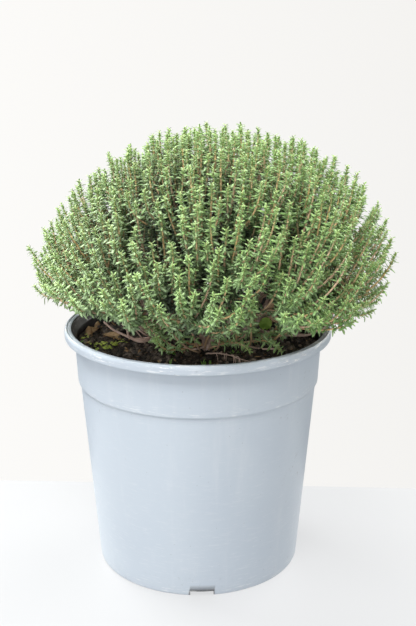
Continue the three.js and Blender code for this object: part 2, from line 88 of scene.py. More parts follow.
# The fixed numbers of the two kinds of noise.
SCATTER = (12.9898, 78.233, 43758.5453)
LATTICE = (374761393, 668265263, 2147483647, 974634777, 1274126177)
LATTICE_BITS = 0xFFFF

# Where a small shape lies in its square of the texture: the margin and the width, round it and along it.
ROUND_TUBE = (0.05, 0.9)
ALONG_TUBE = (0.03, 0.94)


class Skin(IntEnum):
    """The finish of a face in a piece of the bush: its place among the piece's materials."""

    LEAF = 0
    STEM = 1


class Side(Enum):
    """The two faces of a leaf."""

    UPPER = 1
    UNDER = -1


# ---- Numbers that the CAD model uses too

def scatter(a: float, b: float) -> float:
    """Gives a number from 0 to 1 that is always the same for the same two seeds."""
    whole = math.sin(a * SCATTER[0] + b * SCATTER[1]) * SCATTER[2]
    return whole - math.floor(whole)


def centred(a: float, b: float) -> float:
    """Gives a number from -1 to 1 that is always the same for the same two seeds."""
    return 2 * scatter(a, b) - 1


def soil_top(x: Array | float, y: Array | float) -> Array | float:
    """Gives the height of the soil's lumpy top.

    Args:
        x: places across the pot.
        y: places from front to back.

    Returns:
        The heights there.
    """
    out = np.minimum(np.hypot(x, y) / MOUTH_RADIUS, 1)
    lumps = np.sin(x * 0.071 + 1.3) * np.cos(y * 0.063) + 0.5 * np.sin(x * 0.09 - y * 0.08)
    return SOIL_EDGE_Z + SOIL_CROWN * (1 - out * out) + SOIL_LUMP * lumps


# ---- Shapes

def unit(vectors: Array) -> Array:
    """Gives vectors their unit length."""
    return vectors / np.maximum(np.linalg.norm(vectors, axis=-1, keepdims=True), 1e-9)


def lattice(corner: Array, seed: int) -> Array:
    """Gives each corner of a whole-number lattice its own number from 0 to 1.

    Args:
        corner: whole-number places, three to a row.
        seed: which of many lattices.

    Returns:
        One number for each row.
    """
    mixed = corner @ np.array(LATTICE[:3]) + seed * LATTICE[3]
    mixed = (mixed ^ (mixed >> 13)) * LATTICE[4]
    return ((mixed ^ (mixed >> 16)) & LATTICE_BITS) / LATTICE_BITS


def mottle(points: Array, cell: float, seed: int) -> Array:
    """Gives smooth noise over space.

    Args:
        points: places, three numbers to a row.
        cell: the noise's grain.
        seed: which of many noises.

    Returns:
        A number from -1 to 1 for each place.
    """
    spot = np.asarray(points, float) / cell
    low = np.floor(spot).astype(np.int64)
    part = spot - low
    part = part * part * (3 - 2 * part)
    total = np.zeros(spot.shape[:-1])
    for step in np.ndindex(2, 2, 2):
        weight = np.prod(np.where(step, part, 1 - part), axis=-1)
        total += weight * lattice(low + np.array(step), seed)
    return 2 * total - 1


def drift(points: Array, cell: float, seed: int, apart: float = 40.0) -> Array:
    """Gives each point a smooth small move, from -1 to 1 each way, by three noises read some way apart."""
    return np.stack([mottle(points + apart * i, cell, seed + i) for i in range(3)], -1)


def heading(turn: Array, rise: Array) -> Array:
    """Gives the direction at a turn round the upright and a rise over the level."""
    return np.stack([np.cos(turn) * np.cos(rise), np.sin(turn) * np.cos(rise), np.sin(rise)], -1)


def read(places: Array | float, table: Table) -> Array | float:
    """Reads a table's values at these places."""
    return np.interp(places, *table)


def bell(places: Array, width: float) -> Array:
    """Gives 1 at 0, falling smoothly to nearly nothing at twice the width."""
    return np.exp(-((places / width) ** 2))


def circle(sides: int) -> Array:
    """Gives points round a circle of radius 1, seen from above."""
    turns = np.arange(sides) * TURN / sides
    return np.stack([np.cos(turns), np.sin(turns)], -1)


def smooth_path(knots: Array, count: int) -> Array:
    """Draws a smooth line through a few points.

    Args:
        knots: the points that it passes through.
        count: how many points to give back.

    Returns:
        Points along the line.
    """
    knots = np.asarray(knots, float)
    ends = np.vstack([2 * knots[0] - knots[1], knots, 2 * knots[-1] - knots[-2]])
    spans = len(knots) - 1
    place = np.linspace(0, spans, count)
    first = np.minimum(place.astype(int), spans - 1)
    s = (place - first)[:, None]
    a, b, c, d = (ends[first + i] for i in range(4))
    return 0.5 * (2 * b + (c - a) * s + (2 * a - 5 * b + 4 * c - d) * s**2 + (3 * b - a - 3 * c + d) * s**3)


def frames_along(path: Array) -> tuple[Array, Array, Array]:
    """Gives, at each point of a path, its direction and two directions across it that don't twist.

    Args:
        path: the points of the path.

    Returns:
        The directions along, and the two directions across.
    """
    along = unit(np.gradient(path, axis=0))
    across = np.array([1.0, 0.0, 0.0])
    if abs(along[0] @ across) > 0.9:
        across = np.array([0.0, 1.0, 0.0])
    first = np.empty_like(along)
    for i, way in enumerate(along):
        across = across - way * (across @ way)
        across /= np.linalg.norm(across)
        first[i] = across
    return along, first, np.cross(along, first)


@dataclass(frozen=True)
class Form:
    """How the points of one small shape join into faces, and where each corner lies in its texture cell."""

    size: int
    corners: Array
    counts: Array
    spots: Array


def form_of(size: int, faces: list[tuple[int, ...]], spots: list[list[Pair]]) -> Form:
    """Makes a form from its number of points, the points of each face and where its corners lie in the cell."""
    corners, places = ([item for face in given for item in face] for given in (faces, spots))
    return Form(size, np.array(corners, np.int64), np.array([len(face) for face in faces], np.int64), np.array(places))


@functools.lru_cache(maxsize=None)
def tube_form(rings: int, sides: int) -> Form:
    """Gives the form of a tube that is closed at both ends.

    Args:
        rings: rings of points along it.
        sides: points in a ring.

    Returns:
        The form, its points ring after ring.
    """
    across = [ROUND_TUBE[0] + ROUND_TUBE[1] * j / sides for j in range(sides + 1)]
    height = [ALONG_TUBE[0] + ALONG_TUBE[1] * i / (rings - 1) for i in range(rings)]
    faces, spots = [], []
    for i in range(rings - 1):
        low, high = height[i], height[i + 1]
        for j in range(sides):
            k = (j + 1) % sides
            left, right = across[j], across[j + 1]
            faces.append((i * sides + j, i * sides + k, (i + 1) * sides + k, (i + 1) * sides + j))
            spots.append([(left, low), (right, low), (right, high), (left, high)])
    last = (rings - 1) * sides
    faces += [tuple(reversed(range(sides))), tuple(range(last, last + sides))]
    spots += [[(across[j], 0.02) for j in reversed(range(sides))], [(across[j], 0.98) for j in range(sides)]]
    return form_of(rings * sides, faces, spots)


def tube_points(path: Array, radii: Array, sides: int) -> Array:
    """Places the points of a tube.

    Args:
        path: the middle of each ring.
        radii: a radius for each ring, or for each point of each ring.
        sides: points in a ring.

    Returns:
        The points, ring after ring.
    """
    _, u, v = frames_along(path)
    radii = np.broadcast_to(np.asarray(radii, float).reshape(len(path), -1), (len(path), sides))
    cos, sin = circle(sides).T[:, None, :, None]
    rim = u[:, None] * cos + v[:, None] * sin
    return (path[:, None] + rim * radii[..., None]).reshape(-1, 3)


def turned_mesh(name: str, points: Array, first_z: float, last_z: float) -> Mesh:
    """Makes the mesh of a body that goes round the upright axis and is closed at both ends.

    Args:
        name: the mesh's name.
        points: rings of points, in millimetres.
        first_z: the height of the middle of the first ring.
        last_z: the height of the middle of the last.

    Returns:
        The mesh, its two middles the last points.
    """
    rings, sides, _ = points.shape
    faces = []
    for i in range(rings - 1):
        low, high = i * sides, (i + 1) * sides
        for j in range(sides):
            k = (j + 1) % sides
            faces.append((low + j, low + k, high + k, high + j))
    last, bottom, top = (rings - 1) * sides, rings * sides, rings * sides + 1
    for j in range(sides):
        k = (j + 1) % sides
        faces += [(bottom, k, j), (top, last + j, last + k)]
    mesh = bpy.data.meshes.new(name)
    mesh.from_pydata((np.vstack([points.reshape(-1, 3), [0, 0, first_z], [0, 0, last_z]]) * MM).tolist(), [], faces)
    return mesh


def tints(first: Array | float, second: Array | float, third: Array | float = 0.0) -> Array:
    """Gives rows of the four numbers that a finish reads, the last one always 1."""
    return np.stack(np.broadcast_arrays(first, second, third, 1.0), -1)


def paint(mesh: Mesh, tint: Array) -> None:
    """Gives each point of a mesh the four numbers that its finish reads."""
    layer = mesh.color_attributes.new(name=TINT, type="FLOAT_COLOR", domain="POINT")
    layer.data.foreach_set("color", tint.ravel())


@dataclass
class Sheaf:
    """The small shapes of one piece, gathered to be built as one mesh."""

    parts: list[tuple[Array, ...]] = field(default_factory=list)
    point_count: int = 0
    cell_count: int = 0

    def add(self, form: Form, points: Array, tint: Array, skin: int = 0) -> None:
        """Adds copies of a shape.

        Args:
            form: how its points join.
            points: the points of each copy, in millimetres.
            tint: four numbers for each copy, or for each point of each copy, that its finish reads.
            skin: the place of its finish among the piece's materials.
        """
        points = points.reshape(-1, form.size, 3)
        copies = len(points)
        tint = np.asarray(tint, float)
        if tint.ndim < 3:
            tint = tint.reshape(-1, 1, 4)
        first = self.point_count + np.arange(copies)[:, None] * form.size
        self.parts.append((
            points.reshape(-1, 3),
            (first + form.corners).ravel(),
            np.tile(form.counts, copies),
            np.full(len(form.counts) * copies, skin),
            np.broadcast_to(tint, (copies, form.size, 4)).reshape(-1, 4),
            np.tile(form.spots, (copies, 1)),
            np.repeat(self.cell_count + np.arange(copies), len(form.corners)),
        ))
        self.point_count += copies * form.size
        self.cell_count += copies

    def add_tube(self, path: Array, radii: Array, sides: int, tint: Array, skin: int = 0) -> None:
        """Adds a closed tube.

        Args:
            path: the middle of each ring.
            radii: a radius for each ring, or for each point of each ring.
            sides: points in a ring.
            tint: four numbers for the tube, or for each of its rings.
            skin: the place of its finish among the piece's materials.
        """
        tint = np.asarray(tint, float)
        if tint.ndim == 2:
            tint = np.repeat(tint, sides, axis=0)[None]
        self.add(tube_form(len(path), sides), tube_points(path, radii, sides)[None], tint, skin)

    def build(self, name: str, finishes: list[Material], slot: str, replaced: tuple[str, ...] = ()) -> Piece:
        """Builds the piece.

        Args:
            name: the piece's name.
            finishes: its materials, in the order of their skins.
            slot: the record's material slot; not used.
            replaced: the CAD nodes that it stands for.

        Returns:
            The piece.
        """
        mesh = bpy.data.meshes.new(name)
        points, corners, counts, skins, tint, spots, cells = map(np.concatenate, zip(*self.parts))
        mesh.vertices.add(len(points))
        mesh.vertices.foreach_set("co", (points * MM).ravel())
        mesh.loops.add(len(corners))
        mesh.loops.foreach_set("vertex_index", corners)
        mesh.polygons.add(len(counts))
        mesh.polygons.foreach_set("loop_start", np.cumsum(counts) - counts)
        mesh.polygons.foreach_set("material_index", skins)
        mesh.update(calc_edges=True)
        mesh.polygons.foreach_set("use_smooth", np.ones(len(counts), bool))
        columns = math.ceil(math.sqrt(self.cell_count))
        spots = (spots + np.c_[cells % columns, cells // columns]) / columns
        mesh.uv_layers.new(name=BAKE_MAP).data.foreach_set("uv", spots.ravel())
        paint(mesh, tint)
        return place_piece(mesh, name, finishes, replaced)


def into_scene(name: str, data: bpy.types.ID) -> Piece:
    """Makes an object of a mesh, a lamp or a camera and puts it in the scene.

    Args:
        name: the object's name.
        data: what it shows.

    Returns:
        The object.
    """
    made = bpy.data.objects.new(name, data)
    bpy.context.scene.collection.objects.link(made)
    return made


def place_piece(mesh: Mesh, name: str, finishes: list[Material],
                replaced: tuple[str, ...] = ()) -> Piece:
    """Puts a mesh in the scene as a piece of the object.

    Args:
        mesh: its mesh, in metres.
        name: the piece's name.
        finishes: its materials.
        replaced: the CAD nodes that it stands for.

    Returns:
        The piece.
    """
    for finish in finishes:
        mesh.materials.append(finish)
    piece = into_scene(name, mesh)
    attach(piece, BODY)
    if replaced:
        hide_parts(*replaced)
    return piece


# ---- Finishes

@dataclass(frozen=True)
class Grain:
    """A noise over the object, and the two values between which it counts."""

    scale: float
    detail: float = 3
    rough: float = 0.5
    low: float = 0.0
    high: float = 1.0
    stretch: Spot | None = None


class NodeBoard:
    """The nodes of one material, with short calls that place and join them."""

    def __init__(self, name: str) -> None:
        """Starts a material that has only its shader.

        Args:
            name: the material's name.
        """
        self.material = bpy.data.materials.new(name)
        self.material.use_nodes = True
        self.tree = self.material.node_tree
        self.shader = self.tree.nodes["Principled BSDF"]

    def node(self, kind: str, inputs: dict | None = None, **settings: object) -> bpy.types.Node:
        """Adds a node.

        Args:
            kind: its type.
            inputs: values or sockets for its inputs, by name or number.
            settings: its own settings.

        Returns:
            The node.
        """
        made = self.tree.nodes.new(kind)
        for name, value in settings.items():
            setattr(made, name, value)
        for key, value in (inputs or {}).items():
            self.put(made.inputs[key], value)
        return made

    def put(self, socket: Socket, value: object) -> None:
        """Sets a socket's value, or joins it to another node's socket.

        Args:
            socket: the socket.
            value: a value, or the socket to join.
        """
        if isinstance(value, Socket):
            self.tree.links.new(value, socket)
        else:
            socket.default_value = value

    def place(self) -> Socket:
        """Gives the place of a point on the object."""
        return self.node("ShaderNodeTexCoord").outputs["Object"]

    def noise(self, grain: Grain) -> Socket:
        """Gives a grain's noise.

        Args:
            grain: its grains to a metre, its octaves, how strong the finer ones are, and how each axis is scaled.

        Returns:
            The noise's value.
        """
        at = self.place()
        if grain.stretch:
            at = self.node("ShaderNodeMapping", {"Vector": at, "Scale": grain.stretch}).outputs[0]
        inputs = {"Vector": at, "Scale": grain.scale, "Detail": grain.detail, "Roughness": grain.rough}
        return self.node("ShaderNodeTexNoise", inputs).outputs["Fac"]

    def ramp(self, value: Socket, low: float, high: float) -> Socket:
        """Gives 0 where a value is low and 1 where it is high."""
        inputs = {"Value": value, "From Min": low, "From Max": high}
        return self.node("ShaderNodeMapRange", inputs, interpolation_type="SMOOTHSTEP").outputs[0]

    def scaled(self, value: Socket, low: float, high: float) -> Socket:
        """Gives low where a value is 0 and high where it is 1."""
        return self.node("ShaderNodeMapRange", {"Value": value, "To Min": low, "To Max": high}).outputs[0]

    def patches(self, grain: Grain) -> Socket:
        """Gives 0 where a grain's noise is under its low value and 1 where it is over its high one."""
        return self.ramp(self.noise(grain), grain.low, grain.high)

    def between(self, grain: Grain) -> Socket:
        """Gives values from a grain's low one to its high one, as its noise goes."""
        return self.scaled(self.noise(grain), grain.low, grain.high)

    def math(self, what: str, a: object, b: object) -> Socket:
        """Gives a sum, product or other result of two values."""
        return self.node("ShaderNodeMath", {0: a, 1: b}, operation=what).outputs[0]

    def mix(self, share: object, a: object, b: object) -> Socket:
        """Mixes two colours.

        Args:
            share: how much of the second.
            a: the first, as a socket or as red, green and blue.
            b: the second.

        Returns:
            The mixed colour.
        """
        made = self.node("ShaderNodeMix", data_type="RGBA", blend_type="MIX")
        self.put(made.inputs[0], share)
        for socket, colour in ((made.inputs[6], a), (made.inputs[7], b)):
            self.put(socket, colour if isinstance(colour, Socket) else (*colour, 1))
        return made.outputs[2]

    def over(self, colour: object, other: object, mask: Socket, share: float) -> Socket:
        """Lays a share of another colour over one, where the mask is."""
        return self.mix(self.math("MULTIPLY", mask, share), colour, other)

    def tint(self) -> tuple[Socket, ...]:
        """Reads the four numbers that the mesh holds for its finish.

        Returns:
            A socket for each.
        """
        held = self.node("ShaderNodeAttribute", attribute_name=TINT)
        apart = self.node("ShaderNodeSeparateColor", {0: held.outputs["Color"]})
        return (*apart.outputs, held.outputs["Alpha"])

    def bump(self, height: Socket, depth: float, strength: float = 1.0) -> None:
        """Roughens the surface, by a depth in metres."""
        made = self.node("ShaderNodeBump", {"Height": height, "Distance": depth, "Strength": strength})
        self.put(self.shader.inputs["Normal"], made.outputs[0])

    def finish(self, colour: Socket, rough: object, **constants: object) -> Material:
        """Joins the colour and roughness to the shader.

        Args:
            colour: the base colour.
            rough: the roughness.
            constants: other sockets' own values, their names with _ for a space.

        Returns:
            The material.
        """
        self.put(self.shader.inputs["Base Color"], colour)
        self.put(self.shader.inputs["Roughness"], rough)
        for name, value in constants.items():
            self.shader.inputs[name.replace("_", " ")].default_value = value
        return self.material


@dataclass(frozen=True)
class PotPlastic:
    """Grey-blue moulded plastic with a satin skin, scratched along the rim and soiled by handling; its inner wall
    above the soil is painted near-black as painted shade.
    """

    base: Colour = (0.434, 0.487, 0.547)
    cool: Colour = (0.412, 0.465, 0.530)
    scratch: Colour = (0.74, 0.74, 0.73)
    dirt: Colour = (0.10, 0.085, 0.07)
    # The near-black painted on the inner wall as painted shade.
    peat: Colour = (0.022, 0.018, 0.015)
    clouds: Grain = Grain(9, 2, low=0.35, high=0.65)
    inner_shade_grain: Grain = Grain(110, 5, 0.7, 0.93, 1.0)
    streaks: Grain = Grain(60, 5, 0.7, 0.5, 0.8, (1, 1, 0.08))
    cuts: Grain = Grain(240, 4, 0.75, 0.53, 0.68, (0.35, 0.35, 3.0))
    smears: Grain = Grain(170, 6, 0.8, 0.58, 0.72)
    streak: float = 0.12
    worn: float = 0.7
    speck_scale: float = 130.0
    speck_size: float = 0.045
    speck: float = 0.35
    dimples: Grain = Grain(1500, 2)
    dimple_depth: float = 0.00008
    satin: Grain = Grain(35, 4, low=0.34, high=0.5)

    def material(self) -> Material:
        """Makes the finish.

        Returns:
            The material.
        """
        board = NodeBoard("pot_plastic_satin")
        wear, grime, inner_wall_shade, _ = board.tint()
        colour = board.mix(board.patches(self.clouds), self.base, self.cool)
        # Painted shade: the inner wall above the soil is painted nearly all over with the near-black colour.
        painted_inner_shade = board.math("MULTIPLY", inner_wall_shade, board.between(self.inner_shade_grain))
        colour = board.mix(painted_inner_shade, colour, self.peat)
        colour = board.over(colour, self.scratch, board.patches(self.streaks), self.streak)
        scuffs = board.math("MULTIPLY", board.patches(self.cuts), wear)
        colour = board.over(colour, self.scratch, scuffs, self.worn)
        soil = board.math("MULTIPLY", board.patches(self.smears), grime)
        colour = board.over(colour, self.dirt, soil, self.worn)
        specks = board.node("ShaderNodeTexVoronoi", {"Vector": board.place(), "Scale": self.speck_scale})
        speck = board.math("LESS_THAN", specks.outputs["Distance"], self.speck_size)
        colour = board.over(colour, self.dirt, speck, self.speck)
        board.bump(board.noise(self.dimples), self.dimple_depth, 0.5)
        return board.finish(colour, board.between(self.satin), Specular_IOR_Level=0.45)


@dataclass(frozen=True)
class PeatSoil:
    """Near-black damp peat, browner where it has dried."""

    wet: Colour = (0.009, 0.007, 0.006)
    dry: Colour = (0.165, 0.128, 0.098)
    pale: Colour = (0.46, 0.37, 0.28)
    clods: Grain = Grain(140, 6, 0.75, 0.44, 0.66)
    bits: Grain = Grain(900, 3, 0.8, 0.62, 0.74)
    lumps: Grain = Grain(900, 6, 0.75)
    lump_depth: float = 0.0014
    matt: Grain = Grain(300, low=0.5, high=0.9)

    def material(self) -> Material:
        """Makes the finish.

        Returns:
            The material.
        """
        board = NodeBoard("potting_soil_peat")
        tone, _, _, _ = board.tint()
        colour = board.mix(board.patches(self.clods), self.wet, self.dry)
        colour = board.over(colour, self.pale, board.patches(self.bits), 0.6)
        colour = board.over(colour, self.pale, tone, 0.7)
        board.bump(board.noise(self.lumps), self.lump_depth)
        return board.finish(colour, board.between(self.matt), Specular_IOR_Level=0.35)


@dataclass(frozen=True)
class ThymeLeafSkin:
    """Grey-green leaf, matt with tiny hairs: yellow-green when young, paler underneath, painted near-black deep inside
    the bush as painted shade.
    """

    grown: Colour = (0.135, 0.29, 0.062)
    greyed: Colour = (0.335, 0.485, 0.245)
    young: Colour = (0.325, 0.51, 0.15)
    under: Colour = (0.305, 0.42, 0.155)
    # Painted shade: the near-black that leaves deep in the bush are mixed towards.
    inner: Colour = (0.014, 0.032, 0.010)
    down: Colour = (0.50, 0.58, 0.42)
    clouds: Grain = Grain(25, 2, low=0.35, high=0.65)
    hairs: Grain = Grain(4200, 2, 0.6, 0.58, 0.72)
    dimples: Grain = Grain(2600)
    dimple_depth: float = 0.0001
    satin: Grain = Grain(700, 2, low=0.34, high=0.5)

    def material(self) -> Material:
        """Makes the finish.

        Returns:
            The material.
        """
        board = NodeBoard("thyme_leaf_downy")
        fresh, lot, upper, depth = board.tint()
        colour = board.mix(lot, self.grown, self.greyed)
        colour = board.over(colour, self.greyed, board.patches(self.clouds), 0.35)
        colour = board.over(colour, self.under, board.math("SUBTRACT", 1.0, upper), 0.75)
        colour = board.over(colour, self.young, fresh, 0.85)
        # Painted shade: the fourth number mixes leaves deep in the bush, and far back from their tips, towards
        # near-black.
        colour = board.mix(depth, colour, self.inner)
        colour = board.over(colour, self.down, board.patches(self.hairs), 0.22)
        board.bump(board.noise(self.dimples), self.dimple_depth, 0.6)
        return board.finish(colour, board.between(self.satin), Specular_IOR_Level=0.6, Sheen_Weight=0.1,
                            Sheen_Roughness=0.4)


@dataclass(frozen=True)
class ThymeStemSkin:
    """Thin stem: green at its tip, then pink-brown, then orange-tan and grey where it is woody, painted near-black
    deep in the bush as painted shade.
    """

    tip: Colour = (0.36, 0.42, 0.17)
    young: Colour = (0.70, 0.49, 0.345)
    tan: Colour = (0.77, 0.53, 0.255)
    woody: Colour = (0.34, 0.24, 0.18)
    # Painted shade for stems deep in the bush.
    inner: Colour = (0.03, 0.02, 0.012)
    flecks: Grain = Grain(1200, 4, 0.7, 0.45, 0.7, (1, 1, 0.25))
    ridges: Grain = Grain(1800, 4, 0.6, stretch=(1, 1, 0.3))
    ridge_depth: float = 0.00015
    matt: Grain = Grain(400, 2, low=0.5, high=0.75)

    def material(self) -> Material:
        """Makes the finish.

        Returns:
            The material.
        """
        board = NodeBoard("thyme_stem_bark")
        fresh, lot, age, depth = board.tint()
        colour = board.mix(lot, self.young, self.tan)
        colour = board.mix(fresh, colour, self.tip)
        colour = board.mix(age, colour, self.woody)
        colour = board.over(colour, self.woody, board.patches(self.flecks), 0.3)
        # Painted shade: the fourth number darkens stems deep in the bush.
        colour = board.over(colour, self.inner, depth, 0.75)
        board.bump(board.noise(self.ridges), self.ridge_depth)
        return board.finish(colour, board.between(self.matt), Specular_IOR_Level=0.35)


@dataclass(frozen=True)
class ThymeWoodBark:
    """Stringy grey-pink bark on the old wood, bleached where the wood is dead."""

    bark: Colour = (0.42, 0.29, 0.225)
    grey: Colour = (0.68, 0.56, 0.50)
    crack: Colour = (0.06, 0.038, 0.026)
    bleached: Colour = (0.62, 0.46, 0.39)
    strings: Grain = Grain(420, 6, 0.75, 0.4, 0.68, (1, 1, 0.3))
    string_depth: float = 0.0006
    cracks: Grain = Grain(900, 5, 0.7, 0.55, 0.75)

    def material(self) -> Material:
        """Makes the finish.

        Returns:
            The material.
        """
        board = NodeBoard("thyme_wood_bark")
        dead, lot, _, _ = board.tint()
        strings = board.noise(self.strings)
        colour = board.mix(board.ramp(strings, self.strings.low, self.strings.high), self.bark, self.grey)
        colour = board.mix(board.patches(self.cracks), colour, self.crack)
        colour = board.over(colour, self.bleached, dead, 0.6)
        colour = board.over(colour, self.bark, lot, 0.3)
        board.bump(strings, self.string_depth)
        return board.finish(colour, board.scaled(strings, 0.65, 0.9), Specular_IOR_Level=0.25)


@dataclass(frozen=True)
class SoftGreen:
    """A tender green skin, for the moss, the grass and the round seedling leaf."""

    name: str
    dark: Colour
    light: Colour
    gloss: float = 0.5
    blotches: Grain = Grain(600, 4, low=0.4, high=0.7)
    dimples: Grain = Grain(2200)
    dimple_depth: float = 0.0001

    def material(self) -> Material:
        """Makes the finish.

        Returns:
            The material.
        """
        board = NodeBoard(self.name)
        lot, rib, _, _ = board.tint()
        colour = board.mix(lot, self.dark, self.light)
        colour = board.over(colour, self.light, rib, 0.45)
        colour = board.over(colour, self.dark, board.patches(self.blotches), 0.35)
        board.bump(board.noise(self.dimples), self.dimple_depth, 0.6)
        satin = Grain(500, 2, low=self.gloss - 0.1, high=self.gloss + 0.1)
        return board.finish(colour, board.between(satin), Specular_IOR_Level=0.4)


@dataclass(frozen=True)
class DryLeafSkin:
    """Papery brown of a dead leaf, blotched and with paler ribs."""

    name: str
    pale: Colour
    brown: Colour
    spot: Colour = (0.05, 0.028, 0.014)
    blotches: Grain = Grain(160, 5, 0.7, 0.38, 0.66)
    spots: Grain = Grain(420, 4, 0.75, 0.6, 0.72)
    creases: Grain = Grain(1300, 4)
    crease_depth: float = 0.0003
    matt: Grain = Grain(300, 2, low=0.6, high=0.85)

    def material(self) -> Material:
        """Makes the finish.

        Returns:
            The material.
        """
        board = NodeBoard(self.name)
        rib, lot, _, _ = board.tint()
        colour = board.mix(board.patches(self.blotches), self.pale, self.brown)
        colour = board.mix(board.patches(self.spots), colour, self.spot)
        colour = board.over(colour, self.pale, rib, 0.5)
        colour = board.over(colour, self.spot, lot, 0.4)
        board.bump(board.noise(self.creases), self.crease_depth)
        return board.finish(colour, board.between(self.matt), Specular_IOR_Level=0.25)


# ---- The pot

@dataclass
class NurseryPot:
    """The grey-blue plastic pot: a thin wall with a stepped collar, a hollow turned-down rim and a foot ring."""

    sides: int = 240
    rim_z: float = 196.5
    lip: float = 1.8
    wall: float = 1.7
    collar_top: float = 101.8
    collar_foot: float = 99.8
    collar_z: float = 159.2
    step: float = 1.8
    body_top: float = 97.9
    foot: float = 85.0
    foot_ring: float = 4.6
    floor_lift: float = 5.0
    floor_top: float = 6.9
    notches: int = 3
    notch_size: Pair = (19.0, 4.1)
    notch_turn: float = 0.03
    drains: int = 6
    drain_radius: float = 5.0
    drain_circle: float = 60.0
    drain_sides: int = 28
    drain_cut: Pair = (2.0, 12.0)
    corner_steps: int = 5
    longest_step: float = 8.0
    crease_angle: float = 40.0
    inner_shade_above: float = 180.0
    foot_grime: Pair = (35.0, 0.5)
    mouth_grime: tuple[float, float, float] = (185.0, 15.0, 0.35)
    flat_wear: float = 0.25
    scuff_wear: float = 2.0
    smudges: tuple[tuple[float, float, float, float], ...] = (
        (-0.55, 153, 0.16, 7), (-0.86, 146, 0.12, 4), (-0.5, 168, 0.06, 4), (-0.6, 92, 0.14, 22), (-2.5, 150, 0.1, 5),
        (1.2, 60, 0.3, 16), (2.4, 170, 0.2, 8), (-0.64, 178, 0.14, 8))
    scuffs: tuple[tuple[float, float, float, float], ...] = (
        (-0.62, 201, 0.16, 5), (-0.9, 199, 0.1, 4), (-1.75, 201, 0.12, 4), (-2.3, 200, 0.15, 4), (0.7, 201, 0.2, 5),
        (2.2, 201, 0.25, 5))

    def profile(self) -> list[tuple[float, float, float, float]]:
        """Lists the wall's section from the middle of its underside round to the middle of its floor.

        Returns:
            Corners, each with its radius, height, rounding and wear.
        """
        inner = self.foot - self.foot_ring
        crown = POT_HEIGHT - self.lip - 0.6
        return [
            (0.0, self.floor_lift, 0, 0),
            (inner, self.floor_lift, 0.8, 0),
            (inner, 0.0, 0.8, 0.6),
            (self.foot, 0.0, 2.0, 1.0),
            (self.body_top, self.collar_z - self.step, 0.7, 0.35),
            (self.collar_foot, self.collar_z, 0.7, 0.7),
            (self.collar_top, self.rim_z - 1.5, 0.9, 0.1),
            (MOUTH_RADIUS + self.lip, crown, 0.5, 0),
            (RIM_RADIUS - self.lip, crown, 0.5, 0),
            (RIM_RADIUS - self.lip, self.rim_z, 0.5, 0.2),
            (RIM_RADIUS - 0.3, self.rim_z, 0.7, 0.9),
            (RIM_RADIUS, POT_HEIGHT - 2.2, 1.4, 0.55),
            (RIM_RADIUS - 1.1, POT_HEIGHT, 1.2, 1.0),
            (RIM_RADIUS - 2.3, POT_HEIGHT - 0.1, 0.3, 0.5),
            (RIM_RADIUS - 2.8, POT_HEIGHT - 0.75, 0.3, 0.1),
            (RIM_RADIUS - 3.4, POT_HEIGHT - 0.35, 0.3, 0.3),
            (MOUTH_RADIUS + 0.2, POT_HEIGHT - 0.55, 0.9, 0.8),
            (MOUTH_RADIUS - 0.6, POT_HEIGHT - 2.6, 0.6, 0.3),
            (self.collar_top - self.wall, self.rim_z, 0.8, 0),
            (self.collar_foot - self.wall, self.collar_z, 0.5, 0),
            (self.body_top - self.wall, self.collar_z - self.step, 0.5, 0),
            (self.foot - self.wall, self.floor_top, 2.0, 0),
            (0.0, self.floor_top, 0, 0),
        ]

    def section(self) -> Array:
        """Rounds the profile's corners.

        Returns:
            Points of the section, each with its radius, height and wear.
        """
        corners = np.array(self.profile())
        points = [corners[0][[0, 1, 3]]]
        for before, here, after in zip(corners, corners[1:], corners[2:]):
            to_before, to_after = before[:2] - here[:2], after[:2] - here[:2]
            reach = min(here[2], 0.45 * np.linalg.norm(to_before), 0.45 * np.linalg.norm(to_after))
            start = here[:2] + reach * to_before / np.linalg.norm(to_before)
            end = here[:2] + reach * to_after / np.linalg.norm(to_after)
            for share in np.linspace(0, 1, self.corner_steps):
                spot = (1 - share) ** 2 * start + 2 * share * (1 - share) * here[:2] + share**2 * end
                points.append(np.array([*spot, here[3]]))
        points.append(corners[-1][[0, 1, 3]])
        return self.split_long(np.array(points))

    def split_long(self, points: Array) -> Array:
        """Splits the section's long straight stretches, so that its wear can fade along them.

        Args:
            points: the section's points.

        Returns:
            The points, none much further apart than the longest step.
        """
        rows = [points[:1]]
        for here, after in zip(points, points[1:]):
            steps = max(1, round(np.linalg.norm(after[:2] - here[:2]) / self.longest_step))
            shares = (np.arange(steps) + 1)[:, None] / steps
            row = here + (after - here) * shares
            row[:-1, 2] *= self.flat_wear
            rows.append(row)
        return np.vstack(rows)

    def shell(self) -> Piece:
        """Turns the section round the pot's axis.

        Returns:
            The closed shell, without its holes.
        """
        section = self.section()
        body = section[1:-1]
        points = np.empty((len(body), self.sides, 3))
        points[..., :2] = body[:, None, :1] * circle(self.sides)
        points[..., 2] = body[:, None, 1]
        mesh = turned_mesh("pot_shell", points, section[0][1], section[-1][1])
        radius, height, wear = (np.append(np.repeat(column, self.sides), [0, 0]) for column in body.T)
